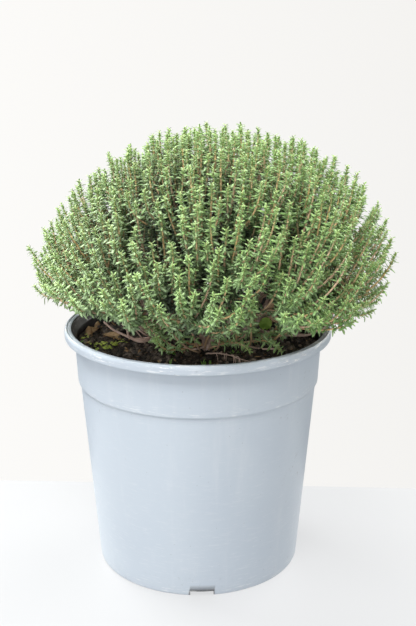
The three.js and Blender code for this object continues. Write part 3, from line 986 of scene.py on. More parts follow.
        # The inner wall above the soil, which the finish paints near-black as painted shade.
        from_lip = body[:, 1] - 9 * (body[:, 0] > MOUTH_RADIUS + 1)
        past_lip = (np.arange(len(body)) > np.argmax(from_lip)) & (body[:, 1] > self.inner_shade_above)
        inner = np.append(np.repeat(past_lip, self.sides), [0, 0])
        grime = np.clip(1 - height / self.foot_grime[0], 0, 1) * self.foot_grime[1]
        since, rise, most = self.mouth_grime
        grime += most * np.clip((height - since) / rise, 0, 1)
        turns = (np.arange(self.sides) * TURN / self.sides + math.pi) % TURN - math.pi
        turn = np.append(np.tile(turns, len(body)), [0, 0])
        for at, level, wide, tall in self.scuffs:
            wear += self.scuff_wear * bell(turn - at, wide) * bell(height - level, tall) * (radius > MOUTH_RADIUS)
        for at, level, wide, tall in self.smudges:
            grime += bell(turn - at, wide) * bell(height - level, tall) * (radius > self.foot - 2)
        paint(mesh, tints(wear, grime, inner))
        return place_piece(mesh, "pot_shell", [PotPlastic().material()], ("pot",))

    def cutter(self) -> Piece:
        """Makes the solids that cut the foot ring's notches and the drain holes.

        Returns:
            A helper object that holds them all.
        """
        points, faces = [], []

        def prism(outline: Array, low: float, high: float) -> None:
            """Adds an upright prism.

            Args:
                outline: its outline in plan.
                low: the height of its foot.
                high: the height of its top.
            """
            first, count = len(points), len(outline)
            points.extend([(x, y, low) for x, y in outline] + [(x, y, high) for x, y in outline])
            faces.append(tuple(first + i for i in reversed(range(count))))
            faces.append(tuple(first + count + i for i in range(count)))
            for i in range(count):
                j = (i + 1) % count
                faces.append((first + i, first + j, first + count + j, first + count + i))

        width, height = self.notch_size
        for i in range(self.notches):
            turn = self.notch_turn + i * TURN / self.notches
            outside, inside = -self.foot - 6, -self.foot + 8
            box = np.array([[-width / 2, outside], [width / 2, outside], [width / 2, inside], [-width / 2, inside]])
            spin = np.array([[math.cos(turn), math.sin(turn)], [-math.sin(turn), math.cos(turn)]])
            prism(box @ spin, -3, height)
        for i in range(self.drains):
            turn = (i + 0.5) * TURN / self.drains - math.pi / 2
            middle = self.drain_circle * np.array([math.cos(turn), math.sin(turn)])
            prism(middle + self.drain_radius * circle(self.drain_sides), *self.drain_cut)
        mesh = bpy.data.meshes.new("pot_cutter")
        mesh.from_pydata((np.array(points) * MM).tolist(), [], faces)
        return into_scene("pot_cutter", mesh)

    def build(self) -> Piece:
        """Makes the pot and cuts its notches and drain holes.

        Returns:
            The pot.
        """
        pot, helper = self.shell(), self.cutter()
        cut = pot.modifiers.new("holes", "BOOLEAN")
        cut.operation, cut.object, cut.solver = "DIFFERENCE", helper, "EXACT"
        held = bpy.context.evaluated_depsgraph_get()
        old, new = pot.data, bpy.data.meshes.new_from_object(pot.evaluated_get(held))
        pot.modifiers.clear()
        pot.data = new
        bpy.data.objects.remove(helper)
        bpy.data.meshes.remove(old)
        new.name = "pot_shell"
        new.polygons.foreach_set("use_smooth", np.ones(len(new.polygons), bool))
        new.set_sharp_from_angle(angle=math.radians(self.crease_angle))
        return pot


# ---- The soil and what lies on it

@dataclass
class SoilBed:
    """The peat that fills the pot, with its crumbs, fibres and chips."""

    rings: int = 84
    sides: int = 216
    edge: float = 99.4
    waist: Pair = (95.8, 157.4)
    floor: Pair = (82.9, 7.3)
    roughness: tuple[Pair, ...] = ((16, 0.9), (6, 1.2), (2.6, 1.1), (1.4, 0.5))
    crumbs: int = 2300
    crumb_size: tuple[float, float, float] = (0.35, 2.1, 3.2)
    fibres: int = 170
    fibre_length: Pair = (3, 13)
    fibre_radius: Pair = (0.1, 0.26)
    chips: int = 190
    chip_length: Pair = (1.2, 4.2)
    seed: int = 11

    def height(self, x: Array, y: Array) -> Array:
        """Gives the height of the crumbled top.

        Args:
            x: places across the pot.
            y: places from front to back.

        Returns:
            The heights there.
        """
        spots = np.stack([x, y, np.zeros_like(x)], axis=-1)
        rough = (size * mottle(spots, cell, self.seed + i) for i, (cell, size) in enumerate(self.roughness))
        return soil_top(x, y) + sum(rough) - 0.4

    def build(self) -> list[Piece]:
        """Makes the soil, its crumbs, its fibres and its chips.

        Returns:
            The pieces.
        """
        finish = PeatSoil().material()
        return [self.bed(finish), self.crumb_layer(finish), self.fibre_layer(), self.chip_layer()]

    def bed(self, finish: Material) -> Piece:
        """Makes the body of soil, closed down to the pot's floor.

        Args:
            finish: its material.

        Returns:
            The piece.
        """
        ring = circle(self.sides)
        rows = [np.c_[ring * self.floor[0], np.full(self.sides, self.floor[1])],
                np.c_[ring * self.waist[0], np.full(self.sides, self.waist[1])]]
        for i in range(self.rings, 0, -1):
            spots = ring * (self.edge * i / self.rings)
            rows.append(np.c_[spots, self.height(spots[:, 0], spots[:, 1])])
        mesh = turned_mesh("soil_bed", np.array(rows), self.floor[1], self.height(np.zeros(1), np.zeros(1))[0])
        mesh.polygons.foreach_set("use_smooth", np.ones(len(mesh.polygons), bool))
        paint(mesh, np.tile([0.0, 0.0, 0.0, 1.0], len(mesh.vertices)))
        return place_piece(mesh, "soil_bed", [finish], ("soil",))

    def spread(self, rng: Draws, count: int, within: float) -> tuple[Array, Array]:
        """Scatters places evenly over the soil within a radius, across the pot and from front to back."""
        out, turn = within * np.sqrt(rng.random(count)), rng.random(count) * TURN
        return out * np.cos(turn), out * np.sin(turn)

    def crumb_layer(self, finish: Material) -> Piece:
        """Makes the loose crumbs of peat.

        Args:
            finish: their material.

        Returns:
            The piece.
        """
        rng = np.random.default_rng(self.seed)
        form, ball = lump_form()
        x, y = self.spread(rng, self.crumbs, self.edge - 2.5)
        least, more, rarity = self.crumb_size
        size = least + more * rng.random(self.crumbs) ** rarity
        squash = size[:, None] * (0.6 + 0.7 * rng.random((self.crumbs, 3)))
        knobs = 1 + 0.35 * mottle(ball[None] * 1.0 + rng.random((self.crumbs, 1, 3)) * 60, 0.9, 5)
        points = ball[None] * squash[:, None] * knobs[..., None]
        turn = rng.random(self.crumbs) * TURN
        spin = np.stack([np.stack([np.cos(turn), -np.sin(turn)], -1), np.stack([np.sin(turn), np.cos(turn)], -1)], 1)
        points[..., :2] = np.einsum("nij,nvj->nvi", spin, points[..., :2])
        points += np.stack([x, y, self.height(x, y) + 0.35 * size], -1)[:, None]
        tone = 0.9 * rng.random(self.crumbs) ** 4
        sheaf = Sheaf()
        sheaf.add(form, points, tints(tone, tone, tone))
        return sheaf.build("soil_crumbs", [finish], "potting_soil")

    def fibre_layer(self) -> Piece:
        """Makes the fine roots and fibres of the peat.

        Returns:
            The piece.
        """
        rng = np.random.default_rng(self.seed + 1)
        sheaf = Sheaf()
        for x, y in zip(*self.spread(rng, self.fibres, self.edge - 9)):
            way, bend, length = rng.random() * TURN, rng.normal(0, 0.09), rng.uniform(*self.fibre_length)
            steps = np.linspace(-0.5, 0.5, 9) * length
            turn = way + bend * steps
            px, py = x + np.cumsum(np.cos(turn)) * length / 9, y + np.cumsum(np.sin(turn)) * length / 9
            if np.hypot(px, py).max() >= self.edge - 1:
                continue
            lift = 0.5 + rng.uniform(0, 1.6) * np.sin(np.linspace(0, math.pi, 9))
            path = np.c_[px, py, self.height(px, py) + lift]
            radius = rng.uniform(*self.fibre_radius) * np.interp(np.linspace(0, 1, 9), [0, 0.3, 1], [0.7, 1, 0.3])
            sheaf.add_tube(path, radius, 5, tints(rng.random(), rng.random()))
        finish = DryLeafSkin("soil_fibre", (0.16, 0.105, 0.065), (0.06, 0.038, 0.024)).material()
        return sheaf.build("soil_fibres", [finish], "potting_soil")

    def chip_layer(self) -> Piece:
        """Makes the flat chips of bark and old leaf.

        Returns:
            The piece.
        """
        rng = np.random.default_rng(self.seed + 2)
        x, y = self.spread(rng, self.chips, self.edge - 4)
        length = rng.uniform(*self.chip_length, self.chips)
        turn = rng.random(self.chips) * TURN
        tilt = rng.normal(0, 0.3, self.chips)
        along = heading(turn, tilt)
        up = unit(np.c_[rng.normal(0, 0.3, (self.chips, 2)), np.ones(self.chips)])
        origin = np.c_[x, y, self.height(x, y) + 0.7] - along * length[:, None] / 2
        leaf = LeafBlade()
        points = leaf.points(origin, along, up, length, length * rng.uniform(0.35, 0.8, self.chips),
                             rng.uniform(-0.2, 0.2, self.chips))
        sheaf = Sheaf()
        sheaf.add(leaf.form(), points, tints(rng.random(self.chips) * 0.6, rng.random(self.chips)))
        finish = DryLeafSkin("soil_chip", (0.19, 0.10, 0.05), (0.08, 0.045, 0.025)).material()
        return sheaf.build("soil_chips", [finish], "potting_soil")


@functools.lru_cache(maxsize=None)
def lump_form() -> tuple[Form, Array]:
    """Makes a small lump.

    Returns:
        Its form, and its points on a ball of radius 1.
    """
    g = (1 + math.sqrt(5)) / 2
    points = [(-1, g, 0), (1, g, 0), (-1, -g, 0), (1, -g, 0), (0, -1, g), (0, 1, g), (0, -1, -g), (0, 1, -g),
              (g, 0, -1), (g, 0, 1), (-g, 0, -1), (-g, 0, 1)]
    faces = [(0, 11, 5), (0, 5, 1), (0, 1, 7), (0, 7, 10), (0, 10, 11), (1, 5, 9), (5, 11, 4), (11, 10, 2),
             (10, 7, 6), (7, 1, 8), (3, 9, 4), (3, 4, 2), (3, 2, 6), (3, 6, 8), (3, 8, 9), (4, 9, 5),
             (2, 4, 11), (6, 2, 10), (8, 6, 7), (9, 8, 1)]
    points = [np.array(p) / np.linalg.norm(p) for p in points]
    middle: dict[tuple[int, int], int] = {}
    finer = []
    for a, b, c in faces:
        mids = []
        for pair in ((a, b), (b, c), (c, a)):
            key = tuple(sorted(pair))
            if key not in middle:
                middle[key] = len(points)
                between = points[pair[0]] + points[pair[1]]
                points.append(between / np.linalg.norm(between))
            mids.append(middle[key])
        ab, bc, ca = mids
        finer += [(a, ab, ca), (b, bc, ab), (c, ca, bc), (ab, bc, ca)]
    ball = np.array(points)
    spots = [[(0.5 + 0.45 * ball[i][0], 0.5 + 0.45 * ball[i][1]) for i in face] for face in finer]
    return form_of(len(ball), finer, spots), ball


@functools.lru_cache(maxsize=None)
def blade_form(sections: int) -> Form:
    """Gives the form of a leaf blade, with its upper and under face apart in the texture cell.

    Args:
        sections: how many sections it has, each a left edge, a crown, a right edge and a keel.

    Returns:
        The form: the root, the sections' points in turn and the tip.
    """
    tip = 1 + 4 * sections
    upper, under = [], []
    for left in range(1, tip - 4, 4):
        crown, right, keel = left + 1, left + 2, left + 3
        upper += [(left, crown, crown + 4, left + 4), (crown, right, right + 4, crown + 4)]
        under += [(right, keel, keel + 4, right + 4), (keel, left, left + 4, keel + 4)]
    left, crown, right, keel = range(tip - 4, tip)
    upper += [(0, 3, 2), (0, 2, 1), (crown, right, tip), (left, crown, tip)]
    under += [(0, 4, 3), (0, 1, 4), (right, keel, tip), (keel, left, tip)]
    spots = []
    for side, faces in ((Side.UPPER, upper), (Side.UNDER, under)):
        middle = 0.5 - 0.24 * side.value
        for face in faces:
            row = []
            for point in face:
                step, j = divmod(point - 1, 4)
                along = 0.0 if point == 0 else 1.0 if point == tip else (step + 1) / (sections + 1)
                across = 0.0 if point in (0, tip) else (-0.2, 0.0, 0.2, 0.0)[j]
                row.append((middle + across, 0.05 + 0.9 * along))
            spots.append(row)
    return form_of(tip + 1, upper + under, spots)


@dataclass
class LeafBlade:
    """A small closed leaf, arched across, with its edges rolled down and a keel under its middle."""

    sections: tuple[Pair, ...] = ((0.16, 0.33), (0.48, 0.5), (0.83, 0.40))
    crown: float = 0.05
    edge: float = -0.10
    keel: float = -0.17

    def form(self) -> Form:
        """Gives how the blade's points join."""
        return blade_form(len(self.sections))

    def points(self, origin: Array, along: Array, up: Array, length: Array, width: Array, droop: Array) -> Array:
        """Places the points of many blades.

        Args:
            origin: where each one's root is.
            along: the direction in which each one leaves its root.
            up: roughly the direction that each one's upper face looks in.
            length: their lengths.
            width: their widths.
            droop: how far each one bends down at its tip, as a share of its length.

        Returns:
            The points of each blade.
        """
        along = unit(along)
        up = unit(up - along * np.sum(up * along, axis=-1, keepdims=True))
        across = np.cross(along, up)
        rows = [(0.0, 0.0, 0.0)]
        for share, half in self.sections:
            fat = 2 * half
            rows += [(-half, share, self.edge * fat), (0, share, self.crown * fat), (half, share, self.edge * fat),
                     (0, share, self.keel * fat)]
        rows.append((0.0, 1.0, 0.0))
        x, y, z = np.array(rows).T
        length, width, droop = (np.asarray(a, float)[:, None] for a in (length, width, droop))
        lift = z * width - droop * length * y**2
        return (origin[:, None] + across[:, None] * (x * width)[..., None]
                + along[:, None] * (y * length * (1 - 0.25 * droop**2))[..., None] + up[:, None] * lift[..., None])

    def upper_share(self) -> Array:
        """Gives how much each point belongs to the upper face."""
        return np.array([0.6, *([0.72, 1.0, 0.72, 0.0] * len(self.sections)), 0.8])


@functools.lru_cache(maxsize=None)
def sheet_form(rows: int, columns: int) -> Form:
    """Gives the form of a thin closed sheet: a grid of points for each face, joined round the edge.

    Args:
        rows: rows of points along the sheet.
        columns: points in a row.

    Returns:
        The form, the upper face's points first.
    """
    under = rows * columns
    faces = []

    def spot(point: int) -> Pair:
        """Finds a point's place in the texture cell.

        Args:
            point: its number.

        Returns:
            The place.
        """
        side, rest = divmod(point, under)
        i, j = divmod(rest, columns)
        return 0.03 + 0.49 * side + 0.44 * j / (columns - 1), 0.03 + 0.94 * i / (rows - 1)

    for i in range(rows - 1):
        for j in range(columns - 1):
            a, b = i * columns + j, (i + 1) * columns + j
            faces.append((a, a + 1, b + 1, b))
            faces.append((under + a, under + b, under + b + 1, under + a + 1))
        a, b = i * columns, (i + 1) * columns
        faces.append((a, b, under + b, under + a))
        a, b = a + columns - 1, b + columns - 1
        faces.append((a, under + a, under + b, b))
    for j in range(columns - 1):
        faces.append((j, under + j, under + j + 1, j + 1))
        last = (rows - 1) * columns + j
        faces.append((last, last + 1, under + last + 1, under + last))
    spots = [[spot(point) for point in face] for face in faces]
    return form_of(2 * under, faces, spots)


@dataclass
class DryLeaf:
    """A dead brown leaf that lies on the soil, curled up along its edges."""

    name: str
    x: float
    y: float
    turn: float
    length: float
    width: float
    rows: int = 25
    columns: int = 15
    thickness: float = 0.35
    curl: float = 2.4
    lift: float = 1.5
    ribs: int = 6

    def build(self, finish: Material) -> Piece:
        """Makes the piece that stands for the CAD model's dry leaf.

        Args:
            finish: its material.

        Returns:
            The piece.
        """
        share, side = np.meshgrid(np.linspace(0, 1, self.rows), np.linspace(-1, 1, self.columns), indexing="ij")
        edge = 1 + 0.14 * mottle(np.stack([share * 9, side.round() * 4, share * 0], -1), 1.0, 61)
        half = edge * (0.4 + self.width / 2 * np.sin(math.pi * (0.05 + 0.9 * share)))
        along = self.length * (share - 0.5)
        px = self.x + along * math.cos(self.turn) - side * half * math.sin(self.turn)
        py = self.y + along * math.sin(self.turn) + side * half * math.cos(self.turn)
        curl = self.curl * np.abs(side) ** 1.5 * np.sin(math.pi * share)
        rib = bell(side, 0.09)
        vein = (share * self.ribs - 0.9 * np.abs(side)) % 1
        rib = np.maximum(rib, 0.7 * bell(vein - 0.5, 0.12))
        rough = 0.7 * mottle(np.stack([px, py, 0 * px], -1), 5, 63)
        height = soil_top(px, py) + self.lift + curl + 0.22 * rib + rough
        upper = np.stack([px, py, height], -1).reshape(1, -1, 3)
        under = upper - np.array([0, 0, self.thickness])
        tint = tints(np.tile(rib.ravel(), 2), 0)[None]
        sheaf = Sheaf()
        sheaf.add(sheet_form(self.rows, self.columns), np.concatenate([upper, under], 1), tint)
        return sheaf.build(self.name + "_ribbed", [finish], "dry_leaf", (self.name,))


@dataclass
class RoundSeedling:
    """A seedling with one round, faintly scalloped leaf on a thin stalk."""

    foot: Pair = (58, 17)
    leaf: Spot = (56.5, 11.0, 199.8)
    facing: Spot = (-0.1, -0.88, 0.46)
    radius: float = 5.5
    thickness: float = 0.45
    cup: float = 0.9
    scallops: int = 11
    ribs: int = 7
    rows: int = 27
    columns: int = 27

    def build(self) -> Piece:
        """Makes the piece that stands for the CAD model's seedling.

        Returns:
            The piece.
        """
        up = unit(np.array(self.facing))
        along = unit(np.array([0, 0, 1.0]) - up * up[2])
        across = np.cross(along, up)
        share, side = np.meshgrid(np.linspace(-1, 1, self.rows), np.linspace(-1, 1, self.columns), indexing="ij")
        x, y = side * np.sqrt(1 - share**2 / 2), share * np.sqrt(1 - side**2 / 2)
        out, turn = np.hypot(x, y), np.arctan2(x, y + 0.75)
        notch = 0.16 * out**4 * (y < 0) * bell(x, 0.2)
        wave = 1 + 0.045 * out**6 * np.cos(self.scallops * np.arctan2(x, y)) - notch
        rib = bell(np.sin(self.ribs * turn), 0.28) * np.clip(out, 0, 1)
        spots = np.stack([x, y, 0 * x], -1)
        lift = self.cup * out**2 - 0.16 * rib + 0.14 * mottle(spots, 0.35, 71)
        flat = (across * (x * wave)[..., None] + along * (y * wave)[..., None]) * self.radius
        middle = np.array(self.leaf)
        upper = (middle + flat + up * (lift + self.thickness / 2)[..., None]).reshape(1, -1, 3)
        under = (middle + flat + up * (lift - self.thickness / 2)[..., None]).reshape(1, -1, 3)
        lot = np.tile((0.5 + 0.3 * mottle(spots, 0.5, 73)).ravel(), 2)
        tint = tints(lot, np.tile(rib.ravel(), 2))[None]
        sheaf = Sheaf()
        sheaf.add(sheet_form(self.rows, self.columns), np.concatenate([upper, under], 1), tint)
        fx, fy = self.foot
        soil = np.array([fx, fy, float(soil_top(fx, fy))])
        base = soil + unit(soil - middle) * 7
        petiole = middle - along * self.radius * 0.55 - up * 0.3
        path = smooth_path([base, soil, (soil + petiole) / 2 - up * 0.8, petiole], 14)
        sheaf.add_tube(path, np.linspace(0.65, 0.4, 14), 10, tints(0.6, 0.2))
        # Painted light: the seedling's greens are made lighter, as it lies in the bush's shade.
        finish = SoftGreen("seedling_leaf_green", (0.26, 0.58, 0.07), (0.62, 0.90, 0.22)).material()
        return sheaf.build("round_seedling", [finish], "seedling_leaf", ("seedling",))


@dataclass
class SoilGrowth:
    """What lies and grows on the soil: moss, grass, small seedlings and fallen thyme leaves."""

    bed: SoilBed
    moss: Knots = (
        (-88, -16, 5), (-81, -19, 5), (-75, -26, 5), (-68, -24, 5), (-80, -30, 5), (-64, -19, 4), (-94, -2, 3),
        (-73, -33, 4))
    grass: tuple[Pair, ...] = (
        (5, -77), (3.5, -78), (9, -75), (-21, -74), (60, 44), (-30, 72))
    weeds: tuple[Pair, ...] = (
        (-96, -13), (-20, -50), (-23, -53), (60, -28), (30, -47), (-58, 62), (70, 55), (0, 84))
    fallen: int = 150
    fallen_length: Pair = (3.2, 5.6)
    large: Knots = (
        (27, -21, 9), (-46, -47, 6), (-57, -39, 5.5), (43, -74, 10), (-91, 7, 12), (-86, 24, 9), (20, -55, 5))
    seed: int = 41

    def build(self) -> list[Piece]:
        """Makes the moss, the grass and the fallen leaves.

        Returns:
            The pieces.
        """
        return [self.moss_patch(), self.grass_tufts(), self.fallen_leaves()]

    def rosettes(self, sheaf: Sheaf, spots: Array, size: float, leaves: int, rng: Draws) -> None:
        """Adds small rosettes of leaves that stand on the soil.

        Args:
            sheaf: the piece's shapes.
            spots: where they stand, from above.
            size: the length of a leaf.
            leaves: how many leaves each has.
            rng: the random draws.
        """
        blade = LeafBlade(((0.3, 0.46), (0.7, 0.5)), edge=0.02)
        for x, y in spots:
            base = np.array([x, y, float(self.bed.height(np.array([x]), np.array([y]))[0]) + 0.5])
            turn = rng.random() * TURN + np.arange(leaves) * GOLDEN_ANGLE
            rise = rng.uniform(0.3, 1.2, leaves)
            way = heading(turn, rise)
            face = np.c_[-np.cos(turn) * np.sin(rise), -np.sin(turn) * np.sin(rise), np.cos(rise)]
            long = size * rng.uniform(0.6, 1.2, leaves)
            root = np.tile(base, (leaves, 1))
            points = blade.points(root, way, face, long, long * rng.uniform(0.35, 0.6, leaves), np.full(leaves, 0.2))
            sheaf.add(blade.form(), points, tints(np.clip(rng.normal(0.55, 0.25, leaves), 0, 1), rise / 2))

    def moss_patch(self) -> Piece:
        """Makes the cushion of moss and tiny seedlings at the left.

        Returns:
            The piece.
        """
        rng = np.random.default_rng(self.seed)
        sheaf = Sheaf()
        for x, y, spread in self.moss:
            spots = np.array([x, y]) + rng.normal(0, spread / 2, (24, 2))
            spots = spots[np.hypot(spots[:, 0], spots[:, 1]) < self.bed.edge - 2]
            self.rosettes(sheaf, spots, 1.6, 8, rng)
        finish = SoftGreen("moss_green", (0.13, 0.23, 0.02), (0.84, 0.97, 0.22), 0.6).material()
        return sheaf.build("soil_moss", [finish], "seedling_leaf")

    def grass_tufts(self) -> Piece:
        """Makes the blades of grass and small weeds near the front and the rim.

        Returns:
            The piece.
        """
        rng = np.random.default_rng(self.seed + 1)
        sheaf = Sheaf()
        for x, y in self.grass:
            for _ in range(2):
                turn, reach = rng.random() * TURN, rng.uniform(1.5, 4.5)
                base = np.array([x, y, float(soil_top(x, y)) - 0.5]) + [*rng.normal(0, 0.6, 2), 0]
                top = base + [reach * math.cos(turn), reach * math.sin(turn), rng.uniform(5, 8.5)]
                bend = (base + top) / 2 + [0, 0, 1.5]
                path = smooth_path([base, bend, top], 9)
                radius = 0.42 * np.interp(np.arange(9), [0, 3, 8], [0.8, 1, 0.12])
                sheaf.add_tube(path, radius, 4, tints(rng.uniform(0.3, 0.9), 0.2))
        spots = np.repeat(self.weeds, 3, 0) + rng.normal(0, 1.6, (3 * len(self.weeds), 2))
        self.rosettes(sheaf, spots, 3.0, 4, rng)
        finish = SoftGreen("grass_green", (0.09, 0.22, 0.03), (0.25, 0.46, 0.10)).material()
        return sheaf.build("soil_weeds", [finish], "seedling_leaf")

    def fallen_leaves(self) -> Piece:
        """Makes the thyme leaves that have dropped, and a few larger dead ones.

        Returns:
            The piece.
        """
        rng = np.random.default_rng(self.seed + 2)
        x, y = self.bed.spread(rng, self.fallen, self.bed.edge - 4)
        long = rng.uniform(*self.fallen_length, self.fallen)
        large = len(self.large)
        x[:large], y[:large], long[:large] = np.array(self.large).T
        turn = rng.random(self.fallen) * TURN
        tilt = rng.normal(0, 0.25, self.fallen)
        along = heading(turn, tilt)
        face = unit(np.c_[rng.normal(0, 0.45, (self.fallen, 2)), np.ones(self.fallen)])
        root = np.c_[x, y, self.bed.height(x, y) + 1.0] - along * long[:, None] / 2
        wide = long * rng.uniform(0.28, 0.42, self.fallen)
        wide[:large] = long[:large] * 0.55
        blade = LeafBlade()
        points = blade.points(root, along, face, long, wide, rng.uniform(-0.5, 0.4, self.fallen))
        sheaf = Sheaf()
        sheaf.add(blade.form(), points, tints(0.6 * rng.random(self.fallen), 0.5 * rng.random(self.fallen)))
        finish = DryLeafSkin("fallen_leaf_brown", (0.46, 0.31, 0.16), (0.24, 0.13, 0.06)).material()
        return sheaf.build("soil_fallen_leaves", [finish], "dry_leaf")


# ---- The bush

@dataclass(frozen=True)
class ShootCurve:
    """A smooth curve from where a shoot starts to its tip, read by the length along it."""

    start: Array
    first: Array
    second: Array
    tip: Array

    @functools.cached_property
    def table(self) -> tuple[Array, Array]:
        """Measures the curve.

        Returns:
            Points along it, and the length up to each.
        """
        s = np.linspace(0, 1, 81)[:, None]
        points = ((1 - s) ** 3 * self.start + 3 * s * (1 - s) ** 2 * self.first
                  + 3 * s**2 * (1 - s) * self.second + s**3 * self.tip)
        steps = np.linalg.norm(np.diff(points, axis=0), axis=1)
        return points, np.concatenate([[0], np.cumsum(steps)])

    @property
    def length(self) -> float:
        """Gives the curve's whole length."""
        return float(self.table[1][-1])

    def at(self, lengths: Array) -> Array:
        """Gives the points at these lengths from the start."""
        points, sums = self.table
        return np.stack([np.interp(lengths, sums, points[:, i]) for i in range(3)], axis=-1)


@dataclass(frozen=True)
class Dome:
    """The form that the bush's tips lie on, as in the CAD model."""

    z: float = 253.0
    up: float = 115.0
    down: float = 108.0
    outline_turn: float = -0.37
    outline: tuple[float, ...] = (151, 143, 145, 143, 142, 145, 152, 132, 132, 136, 143, 150)
    fullness: Pair = (2.05, 0.5)
    lowest: float = 1.88
    front_raise: Pair = (0.32, -2.0)
    tilt: float = 1.1
    over_rim: float = 214.0

    def plan_radius(self, azimuth: float) -> float:
        """Reads the bush's outline in plan.

        Args:
            azimuth: the azimuth.

        Returns:
            The radius there.
        """
        count = len(self.outline)
        place = ((azimuth - self.outline_turn) * count / TURN) % count
        first = int(place) % count
        eased = (1 - math.cos(math.pi * (place - int(place)))) / 2
        return self.outline[first] + eased * (self.outline[(first + 1) % count] - self.outline[first])

    def point(self, polar: float, azimuth: float, reach: float) -> Array:
        """Gives a point on the dome.

        Args:
            polar: its angle from straight up.
            azimuth: its azimuth.
            reach: 1 on the dome, less inside it.

        Returns:
            The point.
        """
        mean, right = self.fullness
        shape = 2 / (mean + right * math.cos(azimuth))
        out = reach * self.plan_radius(azimuth) * abs(math.sin(polar)) ** shape
        cos = math.cos(polar)
        height = self.up * cos**shape if cos > 0 else self.down * cos
        return np.array([out * math.cos(azimuth), out * math.sin(azimuth), self.z + reach * height])

    def lowest_polar(self, azimuth: float) -> float:
        """Finds how low the tips reach.

        Args:
            azimuth: the azimuth.

        Returns:
            The angle from straight up of the lowest tips there.
        """
        by, middle = self.front_raise
        facing = (1 + math.cos(azimuth - middle)) / 2
        return self.lowest - by * facing * facing

    def curve(self, start: Array, polar: float, azimuth: float, reach: float, lean: float = 1.0, pull: float = 0.4,
              rise: float = 0.0, first: Array | None = None) -> ShootCurve:
        """Draws a shoot's curve, which ends leaning out by as much as its tip lies low.

        Args:
            start: where it starts.
            polar: the tip's angle from straight up.
            azimuth: the tip's azimuth.
            reach: the tip's reach.
            lean: how far its tip leans, beside a shoot of the CAD model.
            pull: how much of its way is spent in the tip's direction.
            rise: how far a shoot that leans right out arches up on its way.
            first: what it heads for at first, when it leaves another shoot.

        Returns:
            The curve.
        """
        outness = min(polar / self.lowest_polar(azimuth), 1)
        tip = self.point(polar, azimuth, reach)
        way = tip - start
        if first is None:
            share = 0.4 * outness
            first = start + np.array([share * way[0], share * way[1], 5 + (0.36 - 0.24 * outness) * way[2]])
            first[2] += rise * outness**3
        tilt = lean * self.tilt * outness**1.3
        pull *= float(np.linalg.norm(way))
        second = tip - pull * np.array([math.sin(tilt) * math.cos(azimuth), math.sin(tilt) * math.sin(azimuth), 0])
        second[2] = max(tip[2] - pull * math.cos(tilt), self.over_rim + 0.35 * rise * outness**3)
        return ShootCurve(start, first, second, tip)


@dataclass(frozen=True)
class Shoot:
    """One leafy shoot: its curve, where along it the shoot starts, its leafy length and how its leaves look."""

    curve: ShootCurve
    since: float
    leafy: float
    root_radius: float = 0.85
    # How much of the painted shade deep in the bush its leaves and stems get, and how much painted light makes its
    # leaves paler.
    shade: float = 1.0
    pale: float = 0.0


